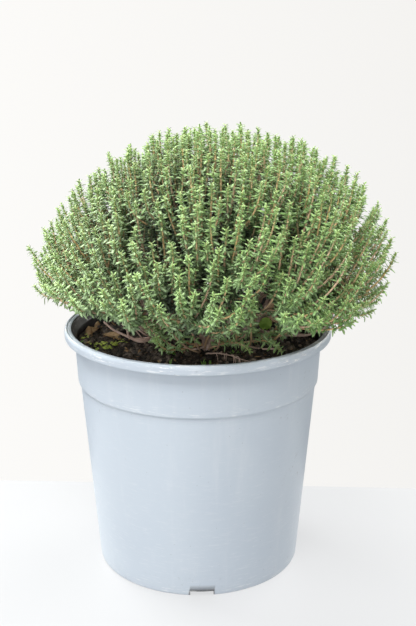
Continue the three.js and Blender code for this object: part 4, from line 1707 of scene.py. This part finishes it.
@dataclass
class ThymeBush:
    """The four thyme plants: where their stems go, and the shoots that fill the bush."""

    dome: Dome = field(default_factory=Dome)
    roots: tuple[Pair, ...] = ((-36, -18), (7, -37), (42, 4), (-4, 34))
    crown_rise: float = 4.6
    spread: float = 2.9
    stems: int = 43
    wood_share: float = 0.3
    wander: float = 0.05
    side_shoots: tuple[Pair, ...] = ((0.12, 0.98), (0.26, 0.9))
    shoot_spread: float = 0.12
    own_lean: float = 0.62
    arch: float = 26.0
    fill: int = 1800
    fill_gap: float = 10.0
    inner_gap: float = 8.0
    inner_share: float = 0.4
    right_stretch: Table = ((0, 0.7, 1.2, 1.5, 1.9), (0.0, 0.0, 0.045, 0.07, 0.0))
    left_stretch: Table = ((0, 0.7, 1.2, 1.5, 1.9), (0.0, -0.01, -0.05, -0.035, 0.04))
    leafy: Pair = (64.0, 100.0)
    skirt: int = 14
    skirt_foot: Pair = (46, 66)
    skirt_leafy: Pair = (34, 60)
    lying_share: float = 0.35
    lying: tuple[Pair, Pair, float] = ((14, 24), (12, 22), 2)
    upright: tuple[Pair, Pair, float] = ((4, 20), (30, 62), 12)
    skirt_azimuths: tuple[Pair, ...] = ((-2.1, -1.85), (-0.95, -0.15), (-1.0, -0.3))
    low_shoots: tuple[Twig, ...] = (
        (56, ((1, -46, 193.5), (-14, -56, 201), (-19.5, -73, 217.5), (-34.5, -90.5, 248.5))),
        (58, ((2, -44, 193.5), (-4, -54, 206), (-9, -69.5, 230), (-9.5, -88.5, 258))),
        (32, ((5.5, -40, 195), (5, -45, 205), (11.5, -60, 217.5), (26.5, -83.5, 248))),
        (34, ((8, -42, 195), (22, -48, 204), (32.5, -60.5, 209.5), (40.5, -67.5, 201))),
        (46, ((30, -46, 199), (31, -52, 211), (27.5, -67, 227), (24, -88.5, 252))),
        (26, ((44, -34, 198), (53.5, -42, 204), (59, -55.5, 205.5), (65, -62, 199))),
        (46, ((56, -38, 198), (65.5, -46, 206), (71.5, -61, 224), (73.5, -82.5, 249))),
        (38, ((40, -38, 196), (44, -47, 203), (39, -64, 219.5), (41, -86.5, 244.5))),
        (40, ((-8, -46, 194), (-22, -48, 200), (-33.5, -59, 210.5), (-45, -80.5, 236.5))),
        (36, ((12, -44, 194), (20, -54, 200), (15.5, -73, 217.5), (9.5, -93.5, 239))),
    )
    seed: int = 5

    def crown(self, root: int) -> Array:
        """Gives the top of a root."""
        x, y = self.roots[root]
        return np.array([x, y, float(soil_top(x, y)) + self.crown_rise])

    def root_of(self, tip: Array) -> int:
        """Gives the number of the root that feeds a tip."""
        away = [math.hypot(tip[0] - self.spread * x, tip[1] - self.spread * y) for x, y in self.roots]
        return away.index(min(away))

    def stem_place(self, k: int) -> Pair:
        """Finds the place about which a stem's shoots end.

        Args:
            k: the stem's number.

        Returns:
            Its polar angle and azimuth.
        """
        azimuth = k * GOLDEN_ANGLE + self.wander * centred(k, 2)
        lowest = self.dome.lowest_polar(azimuth)
        polar = math.acos(1 - (1 - math.cos(lowest)) * (k + 0.5) / self.stems) + self.wander * centred(k, 1)
        return polar, azimuth

    def main_curve(self, k: int) -> tuple[int, ShootCurve]:
        """Draws a stem's main shoot.

        Args:
            k: the stem's number.

        Returns:
            Its root, and the shoot's curve.
        """
        polar, azimuth = self.stem_place(k)
        root = self.root_of(self.dome.point(polar, azimuth, 1))
        return root, self.dome.curve(self.crown(root), *self.shoot_place(k, 0), 1, self.own_lean, rise=self.arch)

    def shoot_place(self, k: int, n: int) -> Pair:
        """Finds where one of a stem's own shoots ends.

        Args:
            k: the stem's number.
            n: the shoot's number.

        Returns:
            Its polar angle and azimuth.
        """
        polar, azimuth = self.stem_place(k)
        angle = TURN * scatter(k, 4) + TURN * n / (len(self.side_shoots) + 1)
        return (max(polar + self.shoot_spread * math.cos(angle), 0.03),
                azimuth + self.shoot_spread * math.sin(angle) / max(math.sin(polar), 0.4))

    def own_shoots(self, k: int) -> list[Shoot]:
        """Gives the shoots that stem k has in the CAD model.

        Args:
            k: the stem's number, from 0.

        Returns:
            Its main shoot and its side shoots.
        """
        _, main = self.main_curve(k)
        rng = np.random.default_rng([self.seed, k])
        shoots = [Shoot(main, self.wood_share * main.length - 1.5, rng.uniform(*self.leafy), 1.5)]
        for n, (at, reach) in enumerate(self.side_shoots):
            share = self.wood_share + (1 - self.wood_share) * at
            start, after = main.at(np.array([share, share + 0.12]) * main.length)
            reach -= 0.06 * scatter(k, 5 + n)
            curve = self.dome.curve(start, *self.shoot_place(k, n + 1), reach, self.own_lean, first=after)
            shoots.append(Shoot(curve, 0, rng.uniform(*self.leafy), 0.9))
        return shoots

    def fill_shoots(self) -> list[list[Shoot]]:
        """Fills the bush between the stems' own shoots.

        Returns:
            For each stem, the further shoots that grow from it.
        """
        mains = [self.main_curve(k)[1] for k in range(self.stems)]
        tips = [shoot.curve.tip for k in range(self.stems) for shoot in self.own_shoots(k)]
        groups: list[list[Shoot]] = [[] for _ in mains]
        rng = np.random.default_rng(self.seed)
        for i in range(self.fill):
            draws = rng.random(7)
            azimuth = i * GOLDEN_ANGLE + 0.08 * (draws[0] - 0.5)
            lowest = self.dome.lowest_polar(azimuth) + 0.04
            polar = math.acos(1 - (1 - math.cos(lowest)) * (i + 0.5) / self.fill) + 0.05 * (draws[1] - 0.5)
            inner = draws[5] < self.inner_share
            reach = 0.88 - 0.28 * draws[2] if inner else 1.0 - 0.1 * draws[2] ** 1.5
            stretch = self.right_stretch if math.cos(azimuth) > 0 else self.left_stretch
            reach += float(read(polar, stretch)) * abs(math.cos(azimuth))
            tip = self.dome.point(max(polar, 0.02), azimuth, reach)
            if min(np.linalg.norm(tip - other) for other in tips) < (self.inner_gap if inner else self.fill_gap):
                continue
            near = int(np.argmin([np.linalg.norm(tip - main.tip) for main in mains]))
            main = mains[near]
            share = 0.34 + 0.3 * draws[3]
            start, after = main.at(np.array([share, share + 0.1]) * main.length)
            lean = 0.08 + 0.42 * (polar / lowest) ** 1.6 + 0.2 * draws[4]
            curve = self.dome.curve(start, max(polar, 0.02), azimuth, reach, lean, 0.58, first=after)
            groups[near].append(Shoot(curve, 0, self.leafy[0] + draws[6] * (self.leafy[1] - self.leafy[0]), 0.9))
            tips.append(tip)
        LOG.info("shoots: %d", len(tips))
        return [[shoot for shoot in group if clear_of_gap(shoot.curve.table[0][30:], 5.0).all()] for group in groups]

    def skirt_shoots(self) -> list[Shoot]:
        """Grows the low shoots of the front, which rise from just over the soil.

        Returns:
            The shoots.
        """
        rng = np.random.default_rng([self.seed, 77])
        shoots = []
        # The listed low shoots get no painted shade, and painted light makes their leaves paler.
        for leafy, knots in self.low_shoots:
            shoots.append(Shoot(ShootCurve(*(np.array(knot, float) for knot in knots)), 0, leafy, 0.9, 0.0, 0.75))
        for i in range(self.skirt):
            first, last = self.skirt_azimuths[i % 3]
            azimuth = first + (last - first) * (i + rng.random()) / self.skirt
            out = np.array([math.cos(azimuth), math.sin(azimuth), 0.0])
            foot = out * rng.uniform(*self.skirt_foot)
            foot[2] = float(soil_top(foot[0], foot[1])) + 3.5
            away, rise, knee = self.lying if rng.random() < self.lying_share else self.upright
            tip = foot + out * rng.uniform(*away)
            tip[2] = foot[2] + rng.uniform(*rise)
            tip[:2] += rng.normal(0, 5, 2)
            start = self.crown(self.root_of(self.spread * foot))
            second = (foot + tip) / 2 + out * 7
            second[2] = foot[2] + knee
            curve = ShootCurve(start, foot, second, tip)
            if clear_of_gap(curve.table[0], 6.0).all():
                # The skirt shoots get little painted shade, and painted light makes their leaves paler.
                shoots.append(Shoot(curve, 0, rng.uniform(*self.skirt_leafy), 0.9, 0.1, 0.6))
        return shoots

    def build(self, bark: Material) -> list[Piece]:
        """Makes the leafy stems and the woody bases.

        Args:
            bark: the woody bases' material.

        Returns:
            The pieces.
        """
        leaf, stem = ThymeLeafSkin().material(), ThymeStemSkin().material()
        fill = self.fill_shoots()
        mains = [self.main_curve(k)[1].tip for k in range(self.stems)]
        for shoot in self.skirt_shoots():
            near = int(np.argmin([np.linalg.norm(shoot.curve.tip - tip) for tip in mains]))
            fill[near].append(shoot)
        pieces = []
        for k in range(self.stems):
            sprig = LeafyStem(self.own_shoots(k) + fill[k], np.random.default_rng([self.seed, 100 + k]))
            pieces.append(sprig.build(k, [leaf, stem]))
        for root in range(len(self.roots)):
            mains = [main for at, main in map(self.main_curve, range(self.stems)) if at == root]
            pieces.append(WoodyBase(self, root, mains).build(bark))
        return pieces


def buried(points: Array) -> Array:
    """Tells how deep in the bush points lie, for the painted shade of the leaves and stems there.

    Args:
        points: the points.

    Returns:
        0 at the bush's outside to 1 well within.
    """
    away = points - np.array([0, 0, Dome.z])
    rise = away[..., 2] / np.where(away[..., 2] > 0, Dome.up, Dome.down)
    out = np.hypot(away[..., 0], away[..., 1]) / BURIED_WIDTH
    return np.clip((BURIED_SINCE - np.hypot(out, rise)) / BURIED_WITHIN, 0, 1)


def from_gap(points: Array, rise: float = 0.0) -> Array:
    """Measures from the middle of the gap through which the seedling gets its light.

    Args:
        points: the points.
        rise: how far the gap's middle is raised.

    Returns:
        The way to each point.
    """
    seedling = np.array(RoundSeedling.leaf) + [rise / 9, 0, rise]
    along = np.clip((points - seedling) @ GAP_WAY, -4, None)
    return points - seedling - along[..., None] * GAP_WAY


def clear_of_gap(points: Array, margin: float | Array) -> Array:
    """Tells which points are clear of the seedling's gap and of the hollow with bare twigs over it."""
    hollow = np.linalg.norm(from_gap(points, 15.0), axis=-1) > margin - 1
    return hollow & (np.linalg.norm(from_gap(points), axis=-1) > margin)


def round_gap(path: Array) -> Array:
    """Bends a path round the seedling's gap, all of it to one side.

    Args:
        path: the points of the path.

    Returns:
        The points, moved out where they were nearer.
    """
    margin = 6.8 + 3.6 * scatter(float(path[-1, 0]), float(path[-1, 2]))
    away = from_gap(path)
    size = np.linalg.norm(away, axis=-1)
    near = int(np.argmin(size))
    side = unit(np.cross(GAP_WAY, np.gradient(path, axis=0)[near]))
    side = -side if side @ away[near] < 0 else side
    reach = away @ side
    rest = size**2 - reach**2
    push = np.sqrt(np.clip(margin**2 - rest, 0, None)) - reach
    return path + side * np.clip(np.where(size < 2 * margin, push, 0), 0, None)[:, None]


def clear_of_pot(points: Array, margin: float) -> Array:
    """Tells which points are clear of the pot and the soil.

    Args:
        points: the points.
        margin: how clear they have to be.

    Returns:
        True for each point that is clear.
    """
    x, y, z = points[..., 0], points[..., 1], points[..., 2]
    out = np.hypot(x, y)
    inside = z > soil_top(x, y) + margin
    beyond = (z > POT_HEIGHT + margin) | (out > RIM_RADIUS + margin)
    return np.where(out < MOUTH_RADIUS - 4 - margin, inside, beyond)


@dataclass(frozen=True)
class NodeRow:
    """The nodes of a shoot, where its leaves stand: how far from the tip, where, and the directions there."""

    back: Array
    at: Array
    along: Array
    u: Array
    v: Array

    def where(self, mask: Array) -> "NodeRow":
        """Gives the nodes that a mask picks."""
        return NodeRow(*(rows[mask] for rows in (self.back, self.at, self.along, self.u, self.v)))


@dataclass
class LeafyStem:
    """One leafy stem: its shoots, each with pairs of leaves crossed up its stem and a tuft in every axil.

    Its tables go by the length back from a shoot's tip. Those of the sides and of the thinning go by place.
    """

    shoots: list[Shoot]
    rng: Draws
    sheaf: Sheaf = field(default_factory=Sheaf)
    sides: int = 6
    ring_step: float = 5.0
    sway: float = 0.7
    radius: Table = ((0, 6, 18, 50, 80, 150), (0.4, 0.52, 0.68, 0.78, 0.86, 1.15))
    stem_fresh: Table = ((0, 7, 16), (1, 0.7, 0))
    stem_age: Table = ((35, 90, 150), (0, 0.55, 1))
    # Painted shade of the stems: darker far back from the tip, and less of it at the left.
    stem_painted_shade: Table = ((45, 110), (0, 0.8))
    left_stem_shade: Table = ((-105, -45), (0.25, 1))
    blade: LeafBlade = field(default_factory=LeafBlade)
    small_blade: LeafBlade = field(default_factory=lambda: LeafBlade(((0.3, 0.46), (0.72, 0.42))))
    first_node: float = 0.6
    node_gap: tuple[float, float, float] = (1.2, 0.2, 5.9)
    rise: Table = ((0, 2, 6, 14, 60), (1.25, 1.0, 0.75, 0.5, 0.3))
    long: Table = ((0, 2, 6, 13, 60, 100), (2.4, 3.4, 4.6, 5.9, 5.9, 5.2))
    slim: Table = ((0, 6, 25), (1.4, 1.2, 1.0))
    slimness: float = 0.36
    tuft: int = 3
    tuft_turn: float = 0.75
    tuft_since: float = 2.2
    tuft_long: Table = ((1, 3, 9, 24, 90), (0.0, 2.2, 3.5, 4.3, 3.6))
    fresh: Table = ((0, 3, 9, 20), (1.0, 0.7, 0.25, 0.0))
    # Painted shade of the leaves: darker far back from the tip, less at the left and more at the right.
    deep: Table = ((22, 48, 85), (0.0, 0.4, 0.9))
    painted_shade_by_side: Table = ((-110, -30, 50, 110), (0.2, 1.0, 1.0, 1.35))
    # Painted light and shade by side: paler, greyer leaves at the left and darker green ones at the right.
    right_painted_shade: Table = ((10, 95), (1.0, 0.05))
    left_painted_light: Table = ((-110, -10), (0.7, 0.0))
    thin_out: Table = ((70, 108), (0, 1))
    thin_up: Table = ((232, 282), (1, 0))
    thin_back: Table = ((14, 30), (0, 1))
    thinning: float = 0.72
    gap_margin: Pair = (4.5, 8.0)

    def build(self, k: int, finishes: list[Material]) -> Piece:
        """Makes the piece that stands for the CAD model's leafy stem.

        Args:
            k: the stem's number, from 0.
            finishes: the materials of its leaves and stems.

        Returns:
            The piece.
        """
        for shoot in self.shoots:
            self.add_shoot(shoot)
        name = f"{k + 1:02d}"
        return self.sheaf.build(f"thyme_shoots_{name}", finishes, "thyme_leaf", (f"leafy_stem_{name}",))

    def add_shoot(self, shoot: Shoot) -> None:
        """Adds a shoot's stem and leaves.

        Args:
            shoot: the shoot.
        """
        total = shoot.curve.length
        count = max(6, round((total - shoot.since) / self.ring_step))
        lengths = np.linspace(shoot.since, total, count)
        path = shoot.curve.at(lengths)
        sway = self.sway * np.sin(np.linspace(0, math.pi, count))[:, None]
        path = round_gap(path + sway * drift(path, 22, 3, 50))
        along, u, v = frames_along(path)
        back = total - lengths
        radius = np.minimum(read(back, self.radius), shoot.root_radius)
        # Painted shade: stems far back from the tip and deep in the bush are darkened, less so at the left.
        depth = np.maximum(read(back, self.stem_painted_shade), 0.8 * buried(path)) * shoot.shade
        depth = depth * read(path[:, 0], self.left_stem_shade)
        fresh, age = read(back, self.stem_fresh), read(back, self.stem_age)
        lot = np.full(count, self.rng.random())
        self.sheaf.add_tube(path, radius, self.sides, np.stack([fresh, lot, age, depth], -1), Skin.STEM)
        nodes = self.node_places(min(shoot.leafy, 0.8 * (total - shoot.since)))
        at, sums = total - nodes, total - back
        rows = (np.stack([np.interp(at, sums, axis) for axis in given.T], -1) for given in (path, along, u, v))
        self.add_whorls(NodeRow(nodes, *rows), shoot)

    def node_places(self, leafy: float) -> Array:
        """Gives how far from the tip each pair of leaves stands.

        Args:
            leafy: the length of the leafy end.

        Returns:
            The distances, the tip's first.
        """
        least, growth, most = self.node_gap
        places = [self.first_node]
        while places[-1] < leafy:
            places.append(places[-1] + min(least + growth * places[-1], most))
        return np.array(places)

    def add_whorls(self, row: NodeRow, shoot: Shoot) -> None:
        """Adds the pairs of leaves and the tufts in their axils.

        Args:
            row: the shoot's nodes.
            shoot: the shoot, for its painted shade and painted light.
        """
        count = len(row.back)
        turn = self.rng.random() * TURN + np.arange(count) * math.pi / 2 + self.rng.normal(0, 0.14, count)
        rise, long, tuft_long = (read(row.back, table) for table in (self.rise, self.long, self.tuft_long))
        grown = row.back > self.tuft_since
        for half in (0, math.pi):
            self.add_ring(row, turn + half, rise, long, 0.0, shoot)
            for n in range(self.tuft):
                off = (n - (self.tuft - 1) / 2) * self.tuft_turn
                self.add_ring(row.where(grown), (turn + half + off)[grown], (rise + 0.5 - 0.25 * abs(off))[grown],
                              tuft_long[grown], 0.5, shoot)

    def add_ring(self, row: NodeRow, turn: Array, rise: Array, long: Array, lift: float, shoot: Shoot) -> None:
        """Adds one leaf at each node.

        Args:
            row: the nodes.
            turn: which way round the stem each leaf stands.
            rise: its angle above a right angle to the stem.
            long: its length.
            lift: how far up the stem from the node its root is: 0 for the leaves of a pair.
            shoot: the shoot, for its painted shade and painted light.
        """
        count = len(row.back)
        turn = turn + self.rng.normal(0, 0.12, count)
        rise = rise + self.rng.normal(0, 0.14, count)
        long = long * self.rng.uniform(0.8, 1.15, count)
        out = row.u * np.cos(turn)[:, None] + row.v * np.sin(turn)[:, None]
        way = out * np.cos(rise)[:, None] + row.along * np.sin(rise)[:, None]
        face = row.along * np.cos(rise)[:, None] - out * np.sin(rise)[:, None]
        face = face + np.cross(way, face) * self.rng.normal(0, 0.28, count)[:, None]
        root = row.at + out * 0.3 + row.along * lift
        droop = self.rng.uniform(0.4, 0.9, count) * (0.55 if lift else 1.0)
        slim = self.slimness * self.rng.uniform(0.85, 1.2, count) * read(row.back, self.slim)
        blade = self.small_blade if lift else self.blade
        points = blade.points(root, way, face, long, long * slim, droop)
        tip, side = points[:, -1], points[:, 6]
        x, _, z = row.at.T
        keep = clear_of_pot(tip, 0.8) & clear_of_pot(side, 0.6) & (long > 0.6)
        thin = read(np.abs(x), self.thin_out) * read(z, self.thin_up)
        keep &= self.rng.random(count) > self.thinning * thin * read(row.back, self.thin_back)
        margin = self.rng.uniform(*self.gap_margin, count)
        keep &= clear_of_gap(tip, margin) & clear_of_gap(side, margin)
        fresh = read(row.back, self.fresh) + (0.12 if lift else 0.0)
        tint = np.empty((count, blade.form().size, 4))
        # Painted light: a shoot's pale share makes its leaves younger-looking and greyer, so paler.
        tint[..., 0] = np.clip(fresh + 0.5 * shoot.pale + self.rng.normal(0, 0.12, count), 0, 1)[:, None]
        # Painted light and shade by side: the greyed share is raised at the left and lowered at the right.
        lot = self.rng.random(count) * read(x, self.right_painted_shade) + read(x, self.left_painted_light)
        tint[..., 1] = np.clip(np.maximum(lot, shoot.pale), 0, 1)[:, None]
        tint[..., 2] = blade.upper_share()
        # Painted shade: leaves far back from the tip and deep in the bush are mixed towards near-black, less at the
        # left and more at the right.
        deep = np.maximum(read(row.back, self.deep), 0.95 * buried(row.at))
        deep = shoot.shade * read(x, self.painted_shade_by_side) * deep + self.rng.normal(0, 0.05, count)
        tint[..., 3] = np.clip(deep, 0, 1)[:, None]
        if keep.any():
            self.sheaf.add(blade.form(), points[keep], tint[keep], Skin.LEAF)


@dataclass
class WoodyBase:
    """One old woody base: its root collar, the bare feet of its stems and its dead twigs."""

    bush: ThymeBush
    root: int
    mains: list[ShootCurve]
    collar_radius: float = 4.0
    collar_depth: float = 18.0
    collar_sides: int = 16
    sides: int = 10
    limb_radii: Pair = (2.0, 1.35)
    limb_sway: float = 0.8
    bare: int = 26
    bare_reach: float = 42.0
    bare_knee: float = 20.0
    bare_radii: Pair = (0.8, 0.35)
    bare_sway: float = 1.6
    twig_sway: float = 0.5
    twigs: tuple[tuple[Twig, ...], ...] = (
        (
            (0.95, ((-46, -24, 195.5), (-58, -18, 198.5), (-69, -9, 201), (-78, 1, 205))),
            (0.6, ((-50, -23, 196.5), (-57, -18, 200), (-58, -15, 208))),
            (0.5, ((-54, -21, 197), (-57, -20, 203), (-62, -19, 209))),
            (0.45, ((-44, -27, 199), (-50, -31, 207), (-53, -33, 212))),
            (0.5, ((-42, -29, 203), (-50, -31, 210), (-47, -33, 218), (-41, -33, 222), (-40, -32, 226))),
        ),
        (
            (1.0, ((5, -40, 199), (4.5, -42, 203.5), (6, -42, 208))),
            (0.7, ((4, -43, 197), (-4, -50, 197.5), (-11, -53, 200))),
            (0.7, ((30, -36, 197), (50, -47, 197), (62, -53, 199))),
        ),
        ((1.0, ((66, -20, 200.5), (86, -29, 202), (98, -26, 206), (110, -19, 210))),),
        (),
    )

    def build(self, finish: Material) -> Piece:
        """Makes the piece that stands for the CAD model's woody base.

        Args:
            finish: its bark.

        Returns:
            The piece.
        """
        sheaf, rng = Sheaf(), np.random.default_rng([31, self.root])
        x, y, z = self.bush.crown(self.root)
        heights = np.array([-self.collar_depth - 4.6, -12, -4.6, -2, 0, 1.6])
        radii = self.collar_radius * np.array([0.4, 0.75, 1.05, 1.0, 0.85, 0.45])
        path = np.c_[np.full(6, x) + [0, 0, 0, 0.5, 0.8, 1.0], np.full(6, y), z + heights]
        self.add_limb(sheaf, path, radii, self.collar_sides, 0.0, rng)
        for main in self.mains:
            path = main.at(np.linspace(0, self.bush.wood_share * main.length, 16))
            path[1:-1] += self.limb_sway * drift(path[1:-1], 9, 21)
            self.add_limb(sheaf, round_gap(path), np.linspace(*self.limb_radii, 16), self.sides, 0.0, rng)
        for _ in range(self.bare):
            turn, out, rise = rng.random() * TURN, rng.uniform(0.3, 1.0), rng.uniform(28, 78)
            way = out * np.array([math.cos(turn), math.sin(turn), 0])
            tip = [x, y, z + rise] + self.bare_reach * way
            knee = [x, y, z + 0.3 * rise + 4] + self.bare_knee * way
            path = smooth_path([(x, y, z - 1), knee, tip], 16)
            path[1:] += self.bare_sway * drift(path[1:], 14, 33)
            self.add_limb(sheaf, round_gap(path), np.linspace(*self.bare_radii, 16), 6, rng.uniform(0, 0.7), rng)
        for radius, knots in self.twigs[self.root]:
            path = smooth_path([(x, y, z), *knots], 22)
            path[1:-1] += self.twig_sway * drift(path[1:-1], 7, 27)
            self.add_limb(sheaf, path, radius * np.linspace(1.5, 0.75, 22), 8, 1.0, rng)
        return sheaf.build(f"thyme_wood_{self.root + 1}", [finish], "thyme_wood", (f"woody_base_{self.root + 1}",))

    def add_limb(self, sheaf: Sheaf, path: Array, radii: Array, sides: int, dead: float,
                 rng: Draws) -> None:
        """Adds a limb with ridged bark.

        Args:
            sheaf: the piece's shapes.
            path: the middle of the limb.
            radii: its radius at each point of the path.
            sides: points in a ring.
            dead: 1 on dead wood.
            rng: the random draws.
        """
        spots = np.empty((len(path), sides, 3))
        spots[..., :2] = 3 * circle(sides)
        spots[..., 2] = np.arange(len(path))[:, None] * 1.3
        spots += rng.random(3) * 50
        bark = radii[:, None] * (1 + 0.22 * mottle(spots, 1.7, 9) + 0.12 * mottle(spots, 0.8, 10))
        sheaf.add_tube(path, bark, sides, tints(dead, rng.random()))


@dataclass
class CombTwig:
    """A dead twig on the soil, with a row of side twigs that curl down like the teeth of a comb."""

    name: str
    knots: Knots
    teeth: int = 9
    tooth: float = 6.5
    radius: float = 0.5

    def build(self, finish: Material) -> Piece:
        """Makes the twig.

        Args:
            finish: its bark.

        Returns:
            The piece.
        """
        rng = np.random.default_rng([91, len(self.name), self.teeth])
        path = smooth_path(self.knots, 36)
        path[1:-1] += 0.5 * drift(path[1:-1], 5, 51)
        sheaf = Sheaf()
        sheaf.add_tube(path, self.radius * np.linspace(1.3, 0.6, 36), 8, tints(0.8, 0.5))
        along = unit(path[-1] - path[0])
        for n in range(self.teeth):
            base = path[round(8 + 26 * n / self.teeth)]
            long = self.tooth * rng.uniform(0.6, 1.15)
            out = along * rng.uniform(-0.1, 0.9) + np.array([0, -0.7, 0]) * rng.choice([-1, 1, 1])
            tip = base + out * long * rng.uniform(0.4, 0.9)
            tip[2] = max(float(soil_top(tip[0], tip[1])) + 0.4, base[2] - long * rng.uniform(0.3, 1))
            tooth = smooth_path([base, base + out * long * 0.5 + [0, 0, rng.uniform(0, 1.5)], tip], 10)
            tint = tints(rng.uniform(0.4, 1), rng.random())
            sheaf.add_tube(tooth, self.radius * np.linspace(0.7, 0.4, 10), 6, tint)
        return sheaf.build(self.name, [finish], "thyme_wood")


# ---- The studio

@dataclass(frozen=True)
class Softbox:
    """A square soft light that looks at the bush."""

    name: str
    at: Spot
    size: float
    watts: float
    colour: Colour

    def build(self) -> None:
        """Adds the light."""
        data = bpy.data.lights.new(self.name, "AREA")
        data.size, data.energy, data.color = self.size, self.watts, self.colour
        lamp = into_scene(self.name, data)
        lamp.location = self.at
        lamp.rotation_euler = (Vector((0, 0, 0.2)) - Vector(self.at)).to_track_quat("-Z", "Y").to_euler()


@dataclass
class Studio:
    """The white table and soft light that the pot is shown in, and the camera."""

    lens: float = 61.55
    camera_at: Spot = (0.0, -0.848, 0.4615)
    pitch: float = 0.2856
    yaw: float = 0.0097
    back_edge: Pair = (0.1221, -0.0554)
    table_reach: float = 2.5
    air_light: float = 0.08
    # The wall that only the camera sees, painted darker towards the right as painted shade.
    wall_left: Colour = (0.995, 0.985, 0.965)
    wall_right_shade: Colour = (0.89, 0.88, 0.86)
    table_grain: Grain = Grain(3, 2, low=0.4, high=0.6)
    table_colours: tuple[Colour, Colour] = ((0.096, 0.1, 0.104), (0.104, 0.108, 0.112))
    table_glow: float = 0.65
    softboxes: tuple[Softbox, ...] = (
        Softbox("key_light", (-0.3, -0.9, 1.7), 0.85, 38.0, (1.0, 0.99, 0.97)),
        Softbox("window_light", (-1.3, 1.2, 0.9), 1.2, 28.0, (1.0, 1.0, 0.96)),
        Softbox("skylight", (-1.0, 0.8, 1.7), 1.0, 49.0, (1.0, 1.0, 0.97)),
        Softbox("back_light", (1.3, 1.2, 0.9), 1.2, 35.0, (1.0, 0.98, 0.92)),
        Softbox("left_light", (-1.9, -0.3, 0.6), 1.2, 13.5, (1.0, 1.0, 1.0)),
        Softbox("right_light", (1.9, 0.2, 0.7), 1.2, 10.5, (1.0, 1.0, 0.97)),
        Softbox("room_light", (-0.3, -1.9, 0.6), 1.4, 18.0, (1.0, 1.0, 0.98)),
    )

    def build(self) -> None:
        """Makes the camera, the wall, the lights and the table."""
        self.camera()
        self.air()
        for softbox in self.softboxes:
            softbox.build()
        self.table()

    def camera(self) -> None:
        """Makes the camera that the photograph was fitted with."""
        data = bpy.data.cameras.new("camera")
        data.lens, data.sensor_width = self.lens, 36
        data.clip_end = 50
        camera = into_scene("camera", data)
        camera.location = self.camera_at
        camera.rotation_euler = (math.pi / 2 - self.pitch, 0, -self.yaw)
        bpy.context.scene.camera = camera
        bpy.context.scene.view_settings.view_transform = "Standard"

    def air(self) -> None:
        """Makes the weak light from all round, and the pale wall that only the camera sees, painted darker towards the
        right as painted shade.
        """
        world = bpy.data.worlds.new("studio_air")
        world.use_nodes = True
        nodes, join = world.node_tree.nodes, world.node_tree.links.new
        air = nodes["Background"]
        seen, glow = nodes.new("ShaderNodeLightPath"), nodes.new("ShaderNodeMapRange")
        glow.inputs["To Min"].default_value, glow.inputs["To Max"].default_value = self.air_light, 1.0
        join(seen.outputs["Is Camera Ray"], glow.inputs["Value"])
        join(glow.outputs[0], air.inputs["Strength"])
        way, split, wall = (nodes.new(f"ShaderNode{kind}") for kind in ("TexCoord", "SeparateXYZ", "MapRange"))
        wall.data_type = "FLOAT_VECTOR"
        join(way.outputs["Generated"], split.inputs[0])
        join(split.outputs["X"], wall.inputs["Vector"])
        for name, value in zip(("From_Min_FLOAT3", "From_Max_FLOAT3", "To_Min_FLOAT3", "To_Max_FLOAT3"),
                               ((-0.3,) * 3, (0.3,) * 3, self.wall_left, self.wall_right_shade)):
            next(s for s in wall.inputs if s.identifier == name).default_value = value
        join(wall.outputs["Vector"], air.inputs["Color"])
        bpy.context.scene.world = world

    def table(self) -> None:
        """Makes the white table top, which ends behind the pot."""
        middle, slope = self.back_edge
        reach = self.table_reach
        corners = [(-reach, -reach, 0), (reach, -reach, 0), (reach, middle + slope * reach, 0),
                   (-reach, middle - slope * reach, 0)]
        low = [(x, y, -0.03) for x, y, _ in corners]
        mesh = bpy.data.meshes.new("table_top")
        sides = [(i, i + 4, (i + 1) % 4 + 4, (i + 1) % 4) for i in range(4)]
        mesh.from_pydata(corners + low, [], [(0, 1, 2, 3), (7, 6, 5, 4), *sides])
        board = NodeBoard("white_table")
        colour = board.mix(board.patches(self.table_grain), *self.table_colours)
        mesh.materials.append(board.finish(colour, 0.5, Specular_IOR_Level=0.3, Emission_Strength=self.table_glow,
                                           Emission_Color=(0.985, 0.99, 1.0, 1)))
        into_scene("table_top", mesh)


COMB_TWIGS = {
    "comb_twig_front": ((6, -58, 196.5), (11, -66, 199.5), (19, -69, 199.5), (25, -70, 198.8), (31, -70, 197),
                        (40, -69, 194)),
    "comb_twig_back": ((-12, 66, 196), (-24, 70, 198.5), (-38, 66, 197), (-50, 60, 194.5)),
    "comb_twig_right": ((70, 30, 194), (78, 20, 197), (82, 8, 196.5), (84, -6, 193.5)),
}


def main() -> None:
    """Builds the potted thyme."""
    logging.basicConfig(level=logging.INFO, format="%(message)s")
    Studio().build()
    dry = DryLeafSkin("dry_leaf_tan", (0.44, 0.30, 0.155), (0.25, 0.145, 0.065)).material()
    bark = ThymeWoodBark().material()
    pieces = [
        NurseryPot().build(),
        *SoilBed().build(),
        RoundSeedling().build(),
        DryLeaf("dry_leaf_left", -71, -7, 2.3, 21, 10).build(dry),
        DryLeaf("dry_leaf_rim", -88, 14, 1.3, 17, 8).build(dry),
        *SoilGrowth(SoilBed()).build(),
        *ThymeBush().build(bark),
        *(CombTwig(name, knots).build(bark) for name, knots in COMB_TWIGS.items()),
    ]
    for piece in pieces:
        LOG.info("%s: %d faces", piece.name, len(piece.data.polygons))
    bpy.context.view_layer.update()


if __name__ == "__main__":
    main()
